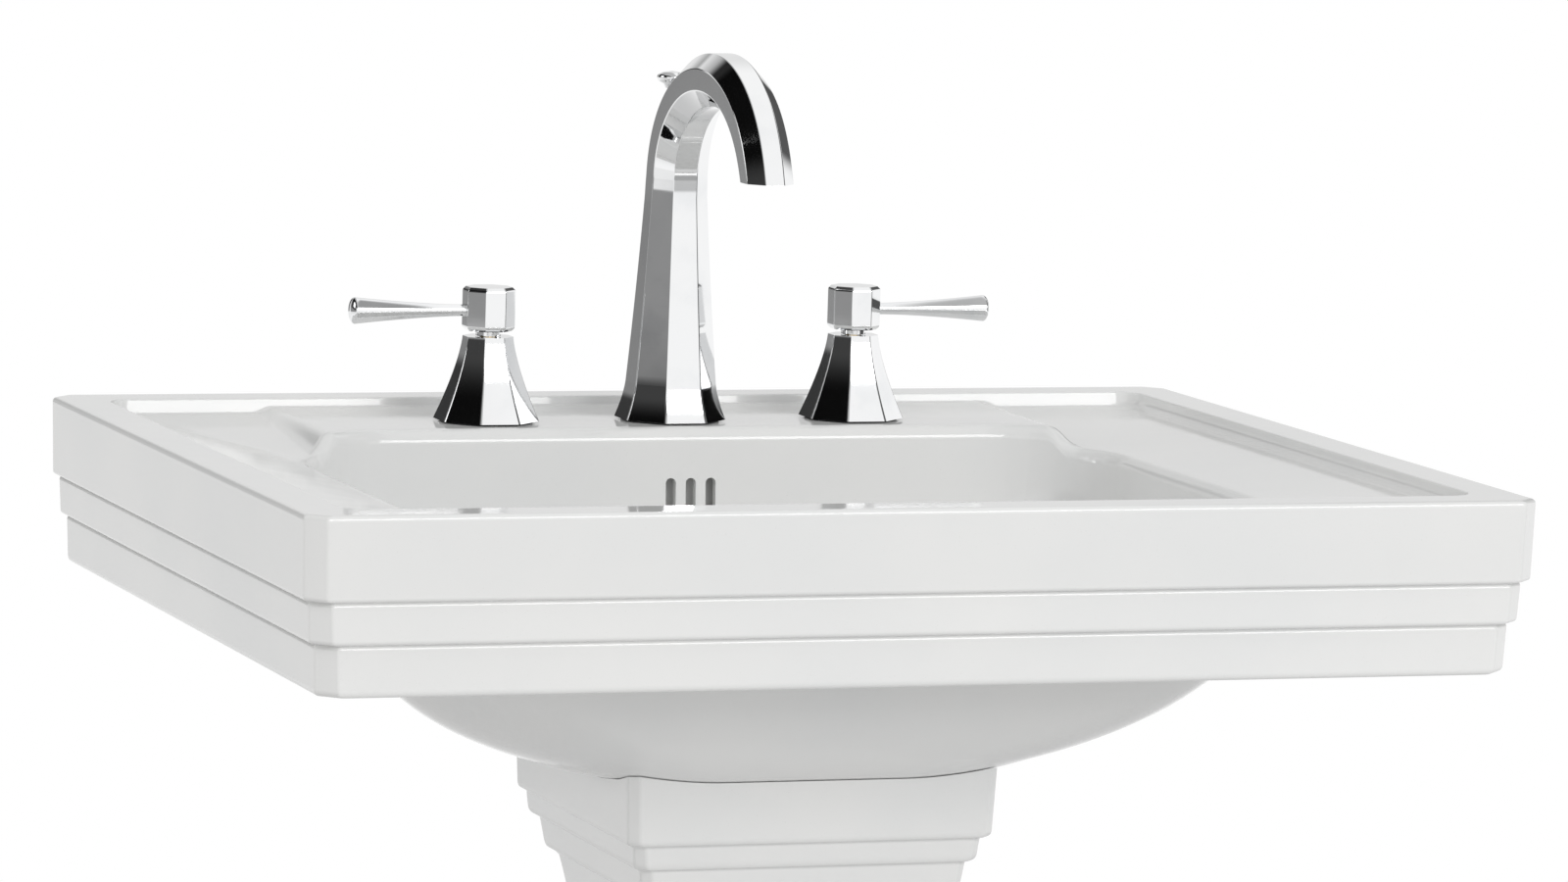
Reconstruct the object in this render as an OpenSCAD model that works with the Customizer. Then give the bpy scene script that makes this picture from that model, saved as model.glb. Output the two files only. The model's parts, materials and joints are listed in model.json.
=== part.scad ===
/* [Basin] */
// Width of the rim, left to right
basin_w = 630; // [600:1:720]
// Depth of the rim, front to back
basin_d = 510; // [490:1:580]
// Height of the rim above the floor
rim_h = 880; // [820:1:920]
// Height of the top tier of the fascia
top_tier_h = 41; // [34:1:48]
// Height of the middle tier of the fascia
mid_tier_h = 21; // [16:1:28]
// Height of the lowest tier of the fascia
low_tier_h = 26; // [20:1:36]
// Set-back of each tier from the one above
tier_step = 4.5; // [3:0.5:6]
// Radius along the lower edge of each tier
tier_round = 4.2; // [2:0.1:5]
// Cut across the upright corners of the fascia
corner_cut = 9; // [5:1:16]
// Width of the flat rim
rim_w = 25; // [18:1:32]
// Drop from the rim to the ledges
ledge_drop = 8; // [6:0.5:9]
// Fall of the ledges from the rim to the bowl
ledge_fall = 8; // [4:0.5:9]
// Thickness of the china
china_t = 12; // [9:0.5:14]
// Depth of the deck's underside below the rim
deck_depth = 27; // [25:1:34]

/* [Bowl] */
// Width of the bowl's opening
bowl_w = 441; // [400:1:450]
// Depth of the bowl's opening, front to back
bowl_d = 279; // [250:1:290]
// Distance from the wall to the bowl's back
bowl_back = 129; // [128:1:140]
// Depth of the bowl's floor below the rim
bowl_depth = 158; // [140:1:170]
// Radius of the bowl's corners seen from above
bowl_corner = 58; // [40:1:80]
// Fullness of the bowl's walls, 2 is an ellipse
bowl_full = 2.4; // [2.2:0.1:3]
// Extra reach of the bulge to both sides
bowl_swell = 18; // [8:1:22]
// Radius of the lip between a ledge and the bowl
lip_r = 7.5; // [3:0.5:8]
// Number of overflow slots
slot_count = 3; // [1:1:5]
// Width of an overflow slot
slot_w = 5.6; // [4:0.2:8]
// Height of an overflow slot
slot_h = 18; // [12:1:24]
// Spacing of the overflow slots
slot_pitch = 11; // [9:0.5:16]
// Depth of the slots' middle below the rim
slot_depth = 41; // [36:1:52]

/* [Tap platform] */
// Width of the raised tap platform
deck_w = 404; // [370:1:410]
// Drop from the rim to the platform
deck_drop = 5.5; // [4:0.5:8]
// Distance from the wall to the tap holes
tap_back = 91; // [84:1:96]
// Distance between the two handles
tap_spread = 203.2; // [200:0.1:240]
// Diameter of the three tap holes
tap_hole = 35; // [34:0.5:38]

/* [Pedestal] */
// Half width of the pedestal's head
head_side = 100; // [92:1:108]
// Reach of the head to the front
head_front = 88; // [80:1:94]
// Reach of the head to the back
head_back = 115; // [106:1:120]
// Height of the head's top tier
head_h = 73; // [66:1:80]
// Half width of the shaft
shaft_side = 76; // [70:1:82]
// Reach of the shaft to the front
shaft_front = 68; // [62:1:74]
// Reach of the shaft to the back
shaft_back = 62; // [56:1:70]
// Half width of the foot
foot_side = 120; // [110:1:132]
// Reach of the foot to the front
foot_front = 108; // [98:1:120]
// Reach of the foot to the back
foot_back = 122; // [110:1:134]
// Cut across the upright corners of the pedestal
pedestal_cut = 5; // [3:0.5:12]
// Width of the opening in the pedestal's back
back_gap_w = 104; // [80:1:112]
// Clearance between the bowl and the pedestal
seat_gap = 0.4; // [0.3:0.1:0.8]

/* [Spout] */
// Width across flats of the spout at its foot
spout_foot = 55; // [50:1:60]
// Width across flats of the column above the foot's flare
column_low = 46; // [42:1:48]
// Width across flats of the column below the arch
column_top = 29.5; // [27:0.5:33]
// Width across flats at the outlet
outlet_across = 25; // [24:0.5:28]
// Height of the foot's flare
flare_h = 19; // [12:1:26]
// Height at which the arch begins
arch_start = 128; // [110:1:140]
// Height of the arch's middle line
arch_h = 184; // [176:1:196]
// Reach of the spout from its hole to the outlet
spout_reach = 146; // [130:1:156]
// Height of the outlet above the platform
outlet_h = 137; // [125:1:145]
// Distance of the lift rod behind the spout's middle
rod_back = 12; // [11.5:0.1:12.2]

/* [Handles] */
// Width across flats of a bell at its base
bell_foot = 52; // [46:1:56]
// Width across flats of a bell at its top
bell_top = 25; // [23:0.5:28]
// Height of a bell
bell_h = 44; // [40:1:50]
// Thickness of a bell's wall
bell_t = 2.2; // [1.5:0.1:2.6]
// Width across flats of a handle's hub
hub_across = 26; // [24:0.5:30]
// Height of a handle's hub
hub_h = 23; // [20:0.5:28]
// Gap between a bell and the hub above it
hub_gap = 3; // [2:0.5:5]
// Distance from a handle's axis to the lever's tip
lever_reach = 76; // [64:1:84]
// Radius of a lever at the hub
lever_thin = 3.1; // [2.6:0.1:4]
// Radius of a lever at its tip
lever_thick = 7; // [5:0.1:8]

/* [Pop-up waste] */
// Distance from the wall to the waste's axis
waste_back = 267; // [262:1:272]
// Radius of the waste hole
waste_hole_r = 22; // [21.8:0.1:23]
// Outer radius of the tailpiece
tail_r = 15.9; // [15:0.1:16]
// Length of the tailpiece
tail_len = 165; // [100:1:200]
// Depth of the pivot below the rim
pivot_depth = 216; // [212:1:222]
// Travel of the lift rod
lift_travel = 35; // [25:1:36]
// Radius of the lift rod
rod_r = 2.4; // [2:0.1:2.5]
// Radius of the pivot rod
pivot_r = 2; // [1.8:0.1:2.2]

/* [Fixings] */
// Distance between the two wall fixing holes
wall_hole_pitch = 280; // [220:5:320]
// Radius of a wall fixing hole
wall_hole_r = 5.5; // [4:0.5:7]
// Distance between the two floor fixing holes
floor_hole_pitch = 170; // [160:2:180]
// Radius of a floor fixing hole
floor_hole_r = 4.5; // [3.5:0.5:6]
// Running clearance of a pin in its bore
run_gap = 0.05; // [0.02:0.01:0.1]
// Clearance between pieces that are screwed or pushed together
fit_gap = 0.1; // [0.05:0.05:0.3]
// Thickness of the gaskets under the taps
gasket_t = 1; // [1:0.5:2]

/* [Hidden] */
half_w = basin_w / 2;
half_d = basin_d / 2;
deck_z = rim_h - deck_drop;
deck_under = rim_h - deck_depth;
ledge_z = rim_h - ledge_drop - ledge_fall;
fascia_h = top_tier_h + mid_tier_h + low_tier_h;
tier_taper = 1;
tier_break = 1.4;
deck_edge = 4;
rim_round = 3;
bowl_y = half_d - bowl_back - bowl_d / 2;
bowl_floor = rim_h - bowl_depth;
bowl_under = bowl_floor - china_t;
waste_y = half_d - waste_back;
tap_y = half_d - tap_back;
tap_x = tap_spread / 2;
tap_hole_r = tap_hole / 2;
corner_steps = 7;
wall_steps = 14;
duct_wall = 4;
passage_near = 5;
passage_far = 11;
duct_half = (slot_count - 1) / 2 * slot_pitch + 22;

// Waste fitting
boss_r = 38;
boss_h = 4;
boss_z = bowl_under - boss_h;
drain_gasket_t = 5;
locknut_h = 9;
recess_depth = 3;
flange_seat = bowl_floor - recess_depth;
flange_r = 31;
flange_t = 3;
flange_z = flange_seat + gasket_t;
throat_r = 17;
flange_tube_r = 19;
dish_r = 23;
body_r = waste_hole_r - 0.7;
locknut_across = 2 * body_r + 11.4;
seal_r = throat_r + 2;
post_r = 3.6;
pivot_z = rim_h - pivot_depth;
ball_r = 6.5;
ball_y = waste_y + body_r + 8.7;
rod_pass_r = 5.2;
port_r = 11;
port_bore_r = ball_r + 0.7;
port_end = ball_y + 6;
body_end = pivot_z - 32;
tail_top = pivot_z - 16;
tail_bottom = tail_top - tail_len;
tail_wall = 1.2;
neck_r = tail_r - 0.5;
neck_low = body_end - 4;
rod_y = tap_y + rod_back;
rod_arm = rod_y - ball_y;
eye_arm = ball_y - waste_y;
stopper_lift = lift_travel * eye_arm / rod_arm;

// Spout and valves
spout_shank_r = 8;
spout_shank_y = tap_y - 5;
spout_nut_across = 2 * spout_shank_r + 8;
valve_shank_r = 12;
valve_nut_across = 2 * valve_shank_r + 10;
washer_t = 3;
washer_r = 20;
nut_h = 9;
tube_z = rim_h - 76;
tube_r = 5;
tee_r = 13;
tee_h = 26;
stub_r = 6;
stub_len = 11;
coupling_across = 17;
coupling_len = 13;
valve_top = gasket_t + bell_h - 14;
cartridge_r = 9;
bonnet_across = 2 * cartridge_r + 2.5;
bonnet_z = gasket_t + 12;
bonnet_h = 8;
inlet_r = 10.4;
inlet_bore_r = 7.5;
inlet_len = 18;
stem_r = 4;
stem_low = 10;
stem_high = bell_h + gasket_t + hub_gap + 14;
rod_bore_r = rod_r + 0.3;
aerator_r = 8.5;
aerator_h = 7;
hub_z = deck_z + gasket_t + bell_h + hub_gap;
lever_z = hub_z + hub_h * 0.46;
knob_r = 8;
knob_h = 9;
knob_z = deck_z + arch_h - 9;
strap_rise = 71;
block_z = pivot_z + strap_rise;
block_h = 16;
strap_pitch = 12;
strap_end = pivot_z - strap_pitch;

$fn = 48;

// Functions

function mix(a, b, t) = a + (b - a) * t;

// Quarter arc of radius r about [x, z], from angle a to angle b
function arc(x, z, r, a, b, steps = 4) =
  [for (i = [0:steps]) [x + r * cos(mix(a, b, i / steps)), z + r * sin(mix(a, b, i / steps))]];

// Ring of points on a rectangle with round corners, all at height z
function ring(half_x, half_y, r, y, z) =
  let (q = min(r, half_x, half_y))
  [for (c = [0:3]) for (i = [0:corner_steps])
    let (a = 90 * (c + i / corner_steps))
    let (sx = (c == 0 || c == 3) ? 1 : -1)
    let (sy = c < 2 ? 1 : -1)
    [sx * (half_x - q) + q * cos(a), y + sy * (half_y - q) + q * sin(a), z]];

// Ring of the bowl, grown outwards by off, at height z
function bowl_ring(off, z) =
  ring(bowl_w / 2 + off, bowl_d / 2 + off, bowl_corner + off, bowl_y, z);

// Height of the surface that lies off below the bowl's inner one, from angle 0 at the top to 90 at the floor
function wall_z(off, a) =
  mix(ledge_z - lip_r, bowl_floor - off, pow(sin(a), 2 / bowl_full));

// Rings down the surface that lies off outside the bowl's inner one, swollen to both sides
function bowl_wall(off, swell) =
  [for (i = [0:wall_steps])
    let (a = min(90 * i / wall_steps, 88.5))
    let (k = pow(cos(a), 2 / bowl_full))
    let (hx = (bowl_w / 2 + off + swell) * k)
    let (hy = (bowl_d / 2 + off) * k)
    let (r = mix(min(hx, hy), bowl_corner + off + swell, k))
    ring(hx, hy, r, mix(waste_y, bowl_y, k), wall_z(off, a))];

// Point of the same surface behind the bowl on the middle plane, as [y, z]
function back_point(off, a) =
  let (k = pow(cos(a), 2 / bowl_full))
  [mix(waste_y, bowl_y, k) + (bowl_d / 2 + off) * k, wall_z(off, a)];

// Fascia outline as [inset, depth below the rim], from the rim down
function fascia_tier(n, top, h) =
  let (inset = n * tier_step)
  concat(
    n == 0 ? [for (p = arc(rim_round, -rim_round, -rim_round, -90, 0)) [p[0], top + p[1]]]
      : [[inset + tier_break, top], [inset, top - tier_break]],
    [for (p = arc(tier_round, tier_round, -tier_round, 0, 90)) [inset + tier_taper + p[0], top - h + p[1]]]);
fascia = concat(
  fascia_tier(0, 0, top_tier_h),
  fascia_tier(1, -top_tier_h, mid_tier_h),
  fascia_tier(2, -top_tier_h - mid_tier_h, low_tier_h));
fascia_inset = 2 * tier_step + tier_taper + tier_round;

// Levels of the pedestal as [height, half width, front, back], from the top down
head_drop = 118;
head_mid_h = 13;
head_low_h = 17;
shaft_fall = 80;
head_top = rim_h - head_drop;
tier_top_2 = head_top - head_h;
tier_top_3 = tier_top_2 - head_mid_h;
neck_z = tier_top_3 - head_low_h;
foot_tier_1 = 48;
foot_tier_2 = 66;
shaft_low = 150;
shaft_high = neck_z - shaft_fall;
function level(z, grow, side, front, back) = [z, side + grow, front + grow, back + grow];
head_levels = [
  level(head_top, 0, head_side, head_front, head_back),
  level(tier_top_2 + 4, -2.8, head_side, head_front, head_back),
  level(tier_top_2 + 1.2, -4, head_side, head_front, head_back),
  level(tier_top_2, -6.5, head_side, head_front, head_back),
  level(tier_top_2 - 1, -7.5, head_side, head_front, head_back + 4),
  level(tier_top_3 + 3, -8.5, head_side, head_front, head_back + 4),
  level(tier_top_3 + 1, -9.5, head_side, head_front, head_back + 4),
  level(tier_top_3, -12, head_side, head_front, head_back + 4),
  level(tier_top_3 - 1, -13, head_side, head_front, head_back + 2),
  level(neck_z + 3, -14.5, head_side, head_front, head_back),
  level(neck_z, -17, head_side, head_front, head_back - 2)
];
shaft_levels = [for (i = [0:8])
  let (t = i / 8)
  let (s = pow(1 - t, 2))
  [mix(neck_z - 1, shaft_high, t),
    mix(shaft_side, head_side - 18, s), mix(shaft_front, head_front - 18, s), mix(shaft_back, head_back - 30, s)]];
flare_levels = [for (i = [0:8])
  let (t = i / 8)
  let (s = t * t)
  [mix(shaft_low, foot_tier_2 + 8, t),
    mix(shaft_side - 4, foot_side - 24, s), mix(shaft_front - 4, foot_front - 24, s),
    mix(shaft_back - 2, foot_back - 24, s)]];
foot_levels = [
  level(foot_tier_2 + 7, -18, foot_side, foot_front, foot_back),
  level(foot_tier_2, -16, foot_side, foot_front, foot_back),
  level(foot_tier_2 - 1, -12, foot_side, foot_front, foot_back),
  level(foot_tier_1, -10, foot_side, foot_front, foot_back),
  level(foot_tier_1 - 1, -4, foot_side, foot_front, foot_back),
  level(2, 0, foot_side, foot_front, foot_back),
  level(0, -2, foot_side, foot_front, foot_back)
];
pedestal_levels = concat(head_levels, shaft_levels, flare_levels, foot_levels);

// Middle line of the arch, as [forward, up], and its direction
arch_rise = 64;
arch_turn = 28;
arch_points = [
  [0, arch_start], [3, arch_start + arch_rise],
  [spout_reach - arch_turn, (8 * arch_h - arch_start - outlet_h) / 3 - arch_start - arch_rise],
  [spout_reach, outlet_h]
];
function bezier(p, t) =
  pow(1 - t, 3) * p[0] + 3 * t * pow(1 - t, 2) * p[1] + 3 * t * t * (1 - t) * p[2] + t * t * t * p[3];
function slope(p, t) =
  pow(1 - t, 2) * (p[1] - p[0]) + 2 * t * (1 - t) * (p[2] - p[1]) + t * t * (p[3] - p[2]);

// Eight points round a middle line: forward and up place it, lean turns it forward, across is its width
function eight(forward, up, lean, across) =
  [for (i = [0:7])
    let (a = 22.5 + 45 * i)
    let (r = across / 2 / cos(22.5))
    [r * cos(a), -forward + r * sin(a) * cos(lean), up + r * sin(a) * sin(lean)]];

function column_across(h) =
  mix(column_low, column_top, h / arch_start) +
  (spout_foot - column_low) * pow(max(0, 1 - h / flare_h), 1.6);

column_rings = concat(
  [for (i = [0:5]) let (h = flare_h * i / 5) eight(0, h, 0, column_across(h))],
  [for (i = [1:5]) let (h = mix(flare_h, arch_start - 6, i / 5)) eight(0, h, 0, column_across(h))]);
arch_rings = [for (i = [0:16])
  let (t = i / 17)
  let (p = bezier(arch_points, t))
  let (s = slope(arch_points, t))
  eight(p[0], p[1], atan2(s[0], s[1]), mix(column_top, outlet_across, t))];
outlet_ring = [eight(spout_reach, outlet_h, 180, outlet_across)];

function bell_across(h, foot, top) = top + (foot - top) * pow(max(0, 1 - h / bell_h), 1.4);

// Ring of eight points on a level of the pedestal, shrunk by off, with its corners cut
function cut_ring(l, off, cut) =
  let (s = l[1] - off)
  let (f = l[2] - off)
  let (b = l[3] - off)
  [[s, cut - f, l[0]], [s, b - cut, l[0]], [s - cut, b, l[0]], [cut - s, b, l[0]],
    [-s, b - cut, l[0]], [-s, cut - f, l[0]], [cut - s, -f, l[0]], [s - cut, -f, l[0]]];

// General solids

// Closed solid through rings of equal count, the first one lowest or the last one lowest
module loft(rings, upward) {
  n = len(rings[0]);
  last = len(rings) - 1;
  sides = [for (j = [0:last - 1]) for (i = [0:n - 1])
    let (a = j * n + i)
    let (b = j * n + (i + 1) % n)
    each upward ? [[a, a + n, b], [b, a + n, b + n]] : [[a, b, a + n], [b, b + n, a + n]]];
  first_cap = [for (i = [0:n - 1]) upward ? i : n - 1 - i];
  last_cap = [for (i = [0:n - 1]) last * n + (upward ? n - 1 - i : i)];
  polyhedron([for (r = rings) each r], concat([first_cap], sides, [last_cap]));
}

// Solid whose half width, front and back reach are listed at each level, with its upright corners cut
module moulded(levels, cut) {
  span = 4 * max([for (l = levels) max(l[1], l[2], l[3])]);
  intersection() {
    slab(0, span) profile([for (l = levels) [l[1], -l[1], l[0]]]);
    slab(90, span) profile([for (l = levels) [l[3], -l[2], l[0]]]);
    slab(45, span) profile([for (l = levels)
      [(l[1] + l[3] - cut) / sqrt(2), -(l[1] + l[2] - cut) / sqrt(2), l[0]]]);
    slab(-45, span) profile([for (l = levels)
      [(l[1] + l[2] - cut) / sqrt(2), -(l[1] + l[3] - cut) / sqrt(2), l[0]]]);
  }
}

// Upright profile drawn out square to its plane, the plane turned by angle
module slab(angle, span) {
  rotate([90, 0, angle]) linear_extrude(height = span, center = true) children();
}

// Outline from a list of [right, left, height]
module profile(rows) {
  n = len(rows);
  polygon(concat([for (r = rows) [r[0], r[2]]], [for (i = [1:n]) [rows[n - i][1], rows[n - i][2]]]));
}

module tube(outer, inner, h) {
  difference() {
    cylinder(r = outer, h = h);
    translate([0, 0, -1]) cylinder(r = inner, h = h + 2);
  }
}

module hex_nut(across, bore, h) {
  difference() {
    cylinder(r = across / 2 / cos(30), h = h, $fn = 6);
    translate([0, 0, -1]) cylinder(r = bore, h = h + 2);
  }
}

// China

module basin() {
  color("white")
  difference() {
    union() {
      difference() {
        basin_block();
        under_space();
        ledge_cavity();
      }
      tap_platform();
      bowl_shell(0);
      overflow_duct();
      translate([0, waste_y, boss_z]) cylinder(r = boss_r, h = bowl_floor - boss_z - 4);
    }
    bowl_cavity();
    overflow_passage();
    for (i = [0:slot_count - 1]) overflow_slot((i - (slot_count - 1) / 2) * slot_pitch);
    for (x = [-tap_x, 0, tap_x]) {
      translate([x, tap_y, deck_under - 1]) cylinder(r = tap_hole_r, h = deck_depth + 2);
    }
    translate([0, waste_y, boss_z - 1]) cylinder(r = waste_hole_r, h = bowl_floor - boss_z);
    translate([0, waste_y, flange_seat]) cylinder(r = flange_r + 1, h = 12);
    for (x = [-1, 1]) wall_hole(x * wall_hole_pitch / 2);
  }
}

module basin_block() {
  levels = [for (p = fascia)
    [rim_h + p[1], half_w - p[0], half_d - p[0], half_d - (p[1] > -rim_round - 0.1 ? p[0] : 0)]];
  moulded(levels, corner_cut);
}

// Open space under the deck, inside the fascia
module under_space() {
  low = fascia_inset + china_t;
  top = low - 8;
  moulded([
    [deck_under, half_w - top, half_d - top, half_d - china_t],
    [rim_h - fascia_h - 1, half_w - low, half_d - low, half_d - china_t]
  ], corner_cut);
}

// Recess inside the rim, down the ledges and round the lip of the bowl
module ledge_cavity() {
  rim_x = half_w - rim_w;
  rim_y = half_d - rim_w;
  rim_corner = 14;
  loft(concat(
    [ring(rim_x + rim_round, rim_y + rim_round, rim_corner, 0, rim_h + 1)],
    [for (p = arc(rim_round, rim_h - rim_round, -rim_round, -90, 0, 3))
      ring(rim_x + p[0], rim_y + p[0], rim_corner, 0, p[1])],
    [ring(rim_x - 0.5, rim_y - 0.5, rim_corner, 0, rim_h - ledge_drop + 1)],
    [ring(rim_x - 3, rim_y - 3, rim_corner, 0, rim_h - ledge_drop)],
    [for (p = arc(lip_r, ledge_z - lip_r, -lip_r, -90, 0, 3)) bowl_ring(p[0], p[1])]
  ), false);
}

// Raised platform with sloping ends, its front cut off later by the bowl
module tap_platform() {
  front = half_d - bowl_back - 30;
  back = half_d - rim_w / 2;
  slant = 9;
  edge = arc(deck_w / 2 - deck_edge, deck_z - deck_edge, deck_edge, 20, 90);
  translate([0, back, 0]) rotate([90, 0, 0]) linear_extrude(height = back - front)
    profile(concat(
      [for (i = [len(edge) - 1:-1:0]) [edge[i][0], -edge[i][0], edge[i][1]]],
      [[deck_w / 2 + slant, -deck_w / 2 - slant, deck_under + 4]]));
}

module bowl_shell(grow) {
  loft(bowl_wall(china_t + grow, bowl_swell), false);
}

module bowl_cavity() {
  loft(concat(
    [bowl_ring(lip_r, deck_z + 1)],
    [for (p = arc(lip_r, deck_z - lip_r, -lip_r, -90, 0, 4)) bowl_ring(p[0], p[1])],
    bowl_wall(0, 0)
  ), false);
}

// Curved strip behind the bowl, between two distances from its inner surface
module back_strip(near, far, half_x, last) {
  steps = 10;
  top_z = ledge_z - lip_r + 1;
  outer = [for (i = [0:steps]) back_point(far, last * i / steps)];
  inner = [for (i = [0:steps]) back_point(near, last * (1 - i / steps))];
  rotate([90, 0, 90])
    linear_extrude(height = 2 * half_x, center = true)
    polygon(concat([[outer[0][0], top_z]], outer, inner, [[inner[steps][0], top_z]]));
}

module overflow_duct() {
  back_strip(china_t - duct_wall, china_t + duct_wall, duct_half, 80);
}

module overflow_passage() {
  back_strip(passage_near, passage_far, duct_half - 8, 77);
  translate([0, waste_y + 12, bowl_floor - 9])
    rotate([-90, 0, 0]) cylinder(r = 3.5, h = 42);
}

// Slot with round ends through the bowl's back wall
module overflow_slot(x) {
  long = slot_h - slot_w;
  back = half_d - bowl_back;
  translate([x, back - 12, rim_h - slot_depth]) rotate([-90, 0, 0])
    linear_extrude(height = 12 + (passage_near + passage_far) / 2)
    union() {
      square([slot_w, long], center = true);
      for (s = [-1, 1]) translate([0, s * long / 2]) circle(d = slot_w, $fn = 24);
    }
}

module wall_hole(x) {
  translate([x, half_d - china_t - 1, rim_h - fascia_h + low_tier_h])
    rotate([-90, 0, 0]) cylinder(r = wall_hole_r, h = china_t + 2);
}

module pedestal() {
  color("white")
  difference() {
    loft([for (l = pedestal_levels) cut_ring(l, 0, pedestal_cut)], false);
    difference() {
      pedestal_hollow();
      for (s = [-1, 1]) fixing_pad(s);
    }
    translate([-back_gap_w / 2, 0, foot_tier_1])
      cube([back_gap_w, foot_back + head_back, rim_h]);
    bowl_shell(seat_gap);
    for (s = [-1, 1]) {
      translate([s * floor_hole_pitch / 2, 0, -1]) cylinder(r = floor_hole_r, h = 30);
    }
  }
}

// Inside of the pedestal, open at the top and at the floor
module pedestal_hollow() {
  levels = concat(
    [level(rim_h, 0, head_side, head_front, head_back)],
    [for (i = [1:len(pedestal_levels) - 2]) pedestal_levels[i]],
    [level(-1, -2, foot_side, foot_front, foot_back)]);
  loft([for (l = levels) cut_ring(l, china_t, pedestal_cut)], false);
}

// Pad inside the foot that takes a floor screw
module fixing_pad(side) {
  pad_w = 2 * (foot_side - floor_hole_pitch / 2);
  pad_d = 50;
  pad_h = 14;
  translate([side * floor_hole_pitch / 2 - pad_w / 2, -pad_d / 2, -2]) cube([pad_w, pad_d, pad_h + 2]);
}

// Spout

module spout_body() {
  color("silver")
  translate([0, tap_y, deck_z + gasket_t])
  difference() {
    loft(concat(column_rings, arch_rings, outlet_ring), true);
    translate([0, -spout_reach, outlet_h - 1]) cylinder(r = aerator_r + fit_gap, h = aerator_h + 1);
    translate([0, rod_back, -1]) cylinder(r = rod_bore_r, h = arch_h + 30);
    translate([0, spout_shank_y - tap_y, -1]) cylinder(r = spout_shank_r + fit_gap, h = 16);
  }
}

module spout_aerator() {
  color("dimgray")
  translate([0, tap_y - spout_reach, deck_z + gasket_t + outlet_h])
  difference() {
    cylinder(r = aerator_r, h = aerator_h - 0.3);
    translate([0, 0, -1]) cylinder(r = aerator_r - 1.5, h = 3);
    for (i = [0:5]) rotate(i * 60) translate([4.2, 0, -1]) cylinder(r = 1.2, h = aerator_h, $fn = 16);
    translate([0, 0, -1]) cylinder(r = 1.2, h = aerator_h, $fn = 16);
  }
}

module spout_gasket() {
  color("dimgray")
  translate([0, tap_y, deck_z])
  tube(spout_foot / 2 - 1.5, tap_hole_r - 1.5, gasket_t);
}

module spout_shank() {
  color("goldenrod")
  translate([0, spout_shank_y, tube_z + tee_h / 2])
  tube(spout_shank_r, 5, deck_z + gasket_t + 14 - tube_z - tee_h / 2);
}

module spout_washer() {
  color("silver")
  translate([0, tap_y, deck_under - washer_t])
  difference() {
    cylinder(r = washer_r, h = washer_t);
    translate([0, spout_shank_y - tap_y, -1]) cylinder(r = spout_shank_r + fit_gap, h = washer_t + 2);
    translate([0, rod_back, -1]) cylinder(r = rod_bore_r + 0.7, h = washer_t + 2);
  }
}

module spout_nut() {
  color("goldenrod")
  translate([0, spout_shank_y, deck_under - washer_t - nut_h]) hex_nut(spout_nut_across, spout_shank_r + fit_gap, nut_h);
}

module spout_tee() {
  color("goldenrod")
  translate([0, spout_shank_y, tube_z])
  difference() {
    union() {
      translate([0, 0, -tee_h / 2]) cylinder(r = tee_r, h = tee_h);
      rotate([0, 90, 0]) cylinder(r = stub_r, h = 2 * (tee_r + stub_len), center = true);
    }
    rotate([0, 90, 0]) cylinder(r = tube_r - 1, h = 2 * (tee_r + stub_len) + 2, center = true);
    cylinder(r = 5, h = tee_h);
  }
}

// Valves and handles

// Places a piece at the left tap hole for side -1, at the right one for side 1
module at_tap(side, z) {
  translate([side * tap_x, tap_y, z]) children();
}

module bell(side) {
  steps = 9;
  outer = [for (i = [0:steps])
    let (h = bell_h * i / steps) eight(0, h, 0, bell_across(h, bell_foot, bell_top))];
  inner = [for (i = [0:steps])
    let (h = mix(-1, bell_h - bell_t, i / steps))
    eight(0, h, 0, bell_across(h, bell_foot, bell_top) - 2 * bell_t)];
  color("silver")
  at_tap(side, deck_z + gasket_t)
  difference() {
    loft(outer, true);
    loft(inner, true);
    cylinder(r = stem_r + 0.6, h = bell_h + 1);
  }
}

module left_bell() {
  bell(-1);
}

module right_bell() {
  bell(1);
}

module bell_gaskets() {
  color("dimgray")
  for (s = [-1, 1]) at_tap(s, deck_z) tube(bell_foot / 2 - 1.5, tap_hole_r - 1.5, gasket_t);
}

module valve_body(side) {
  low = tube_z - tee_h / 2;
  port = tee_r + stub_len;
  color("goldenrod")
  difference() {
    union() {
      at_tap(side, low) cylinder(r = valve_shank_r, h = deck_z + bonnet_z - low);
      at_tap(side, low) cylinder(r = tee_r, h = tee_h);
      at_tap(side, low - inlet_len) cylinder(r = inlet_r, h = inlet_len);
      at_tap(side, deck_z + bonnet_z) cylinder(r = cartridge_r, h = valve_top - bonnet_z);
      translate([side * (tap_x - port), spout_shank_y, tube_z])
        rotate([0, side * 90, 0]) cylinder(r = stub_r, h = port);
    }
    translate([side * (tap_x - port - 1), spout_shank_y, tube_z])
      rotate([0, side * 90, 0]) cylinder(r = tube_r - 1, h = stub_len);
    at_tap(side, low - inlet_len - 1) cylinder(r = inlet_bore_r, h = inlet_len);
    at_tap(side, deck_z + stem_low - 1) cylinder(r = stem_r + run_gap, h = 60);
  }
}

module left_valve_body() {
  valve_body(-1);
}

module right_valve_body() {
  valve_body(1);
}

module bonnet_nut(side) {
  color("goldenrod")
  at_tap(side, deck_z + bonnet_z) hex_nut(bonnet_across, cartridge_r + fit_gap, bonnet_h);
}

module left_bonnet_nut() {
  bonnet_nut(-1);
}

module right_bonnet_nut() {
  bonnet_nut(1);
}

module valve_washers() {
  color("silver")
  for (s = [-1, 1]) at_tap(s, deck_under - washer_t) tube(washer_r, valve_shank_r + fit_gap, washer_t);
}

module valve_nuts() {
  color("goldenrod")
  for (s = [-1, 1]) {
    at_tap(s, deck_under - washer_t - nut_h) hex_nut(valve_nut_across, valve_shank_r + fit_gap, nut_h);
  }
}

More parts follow.
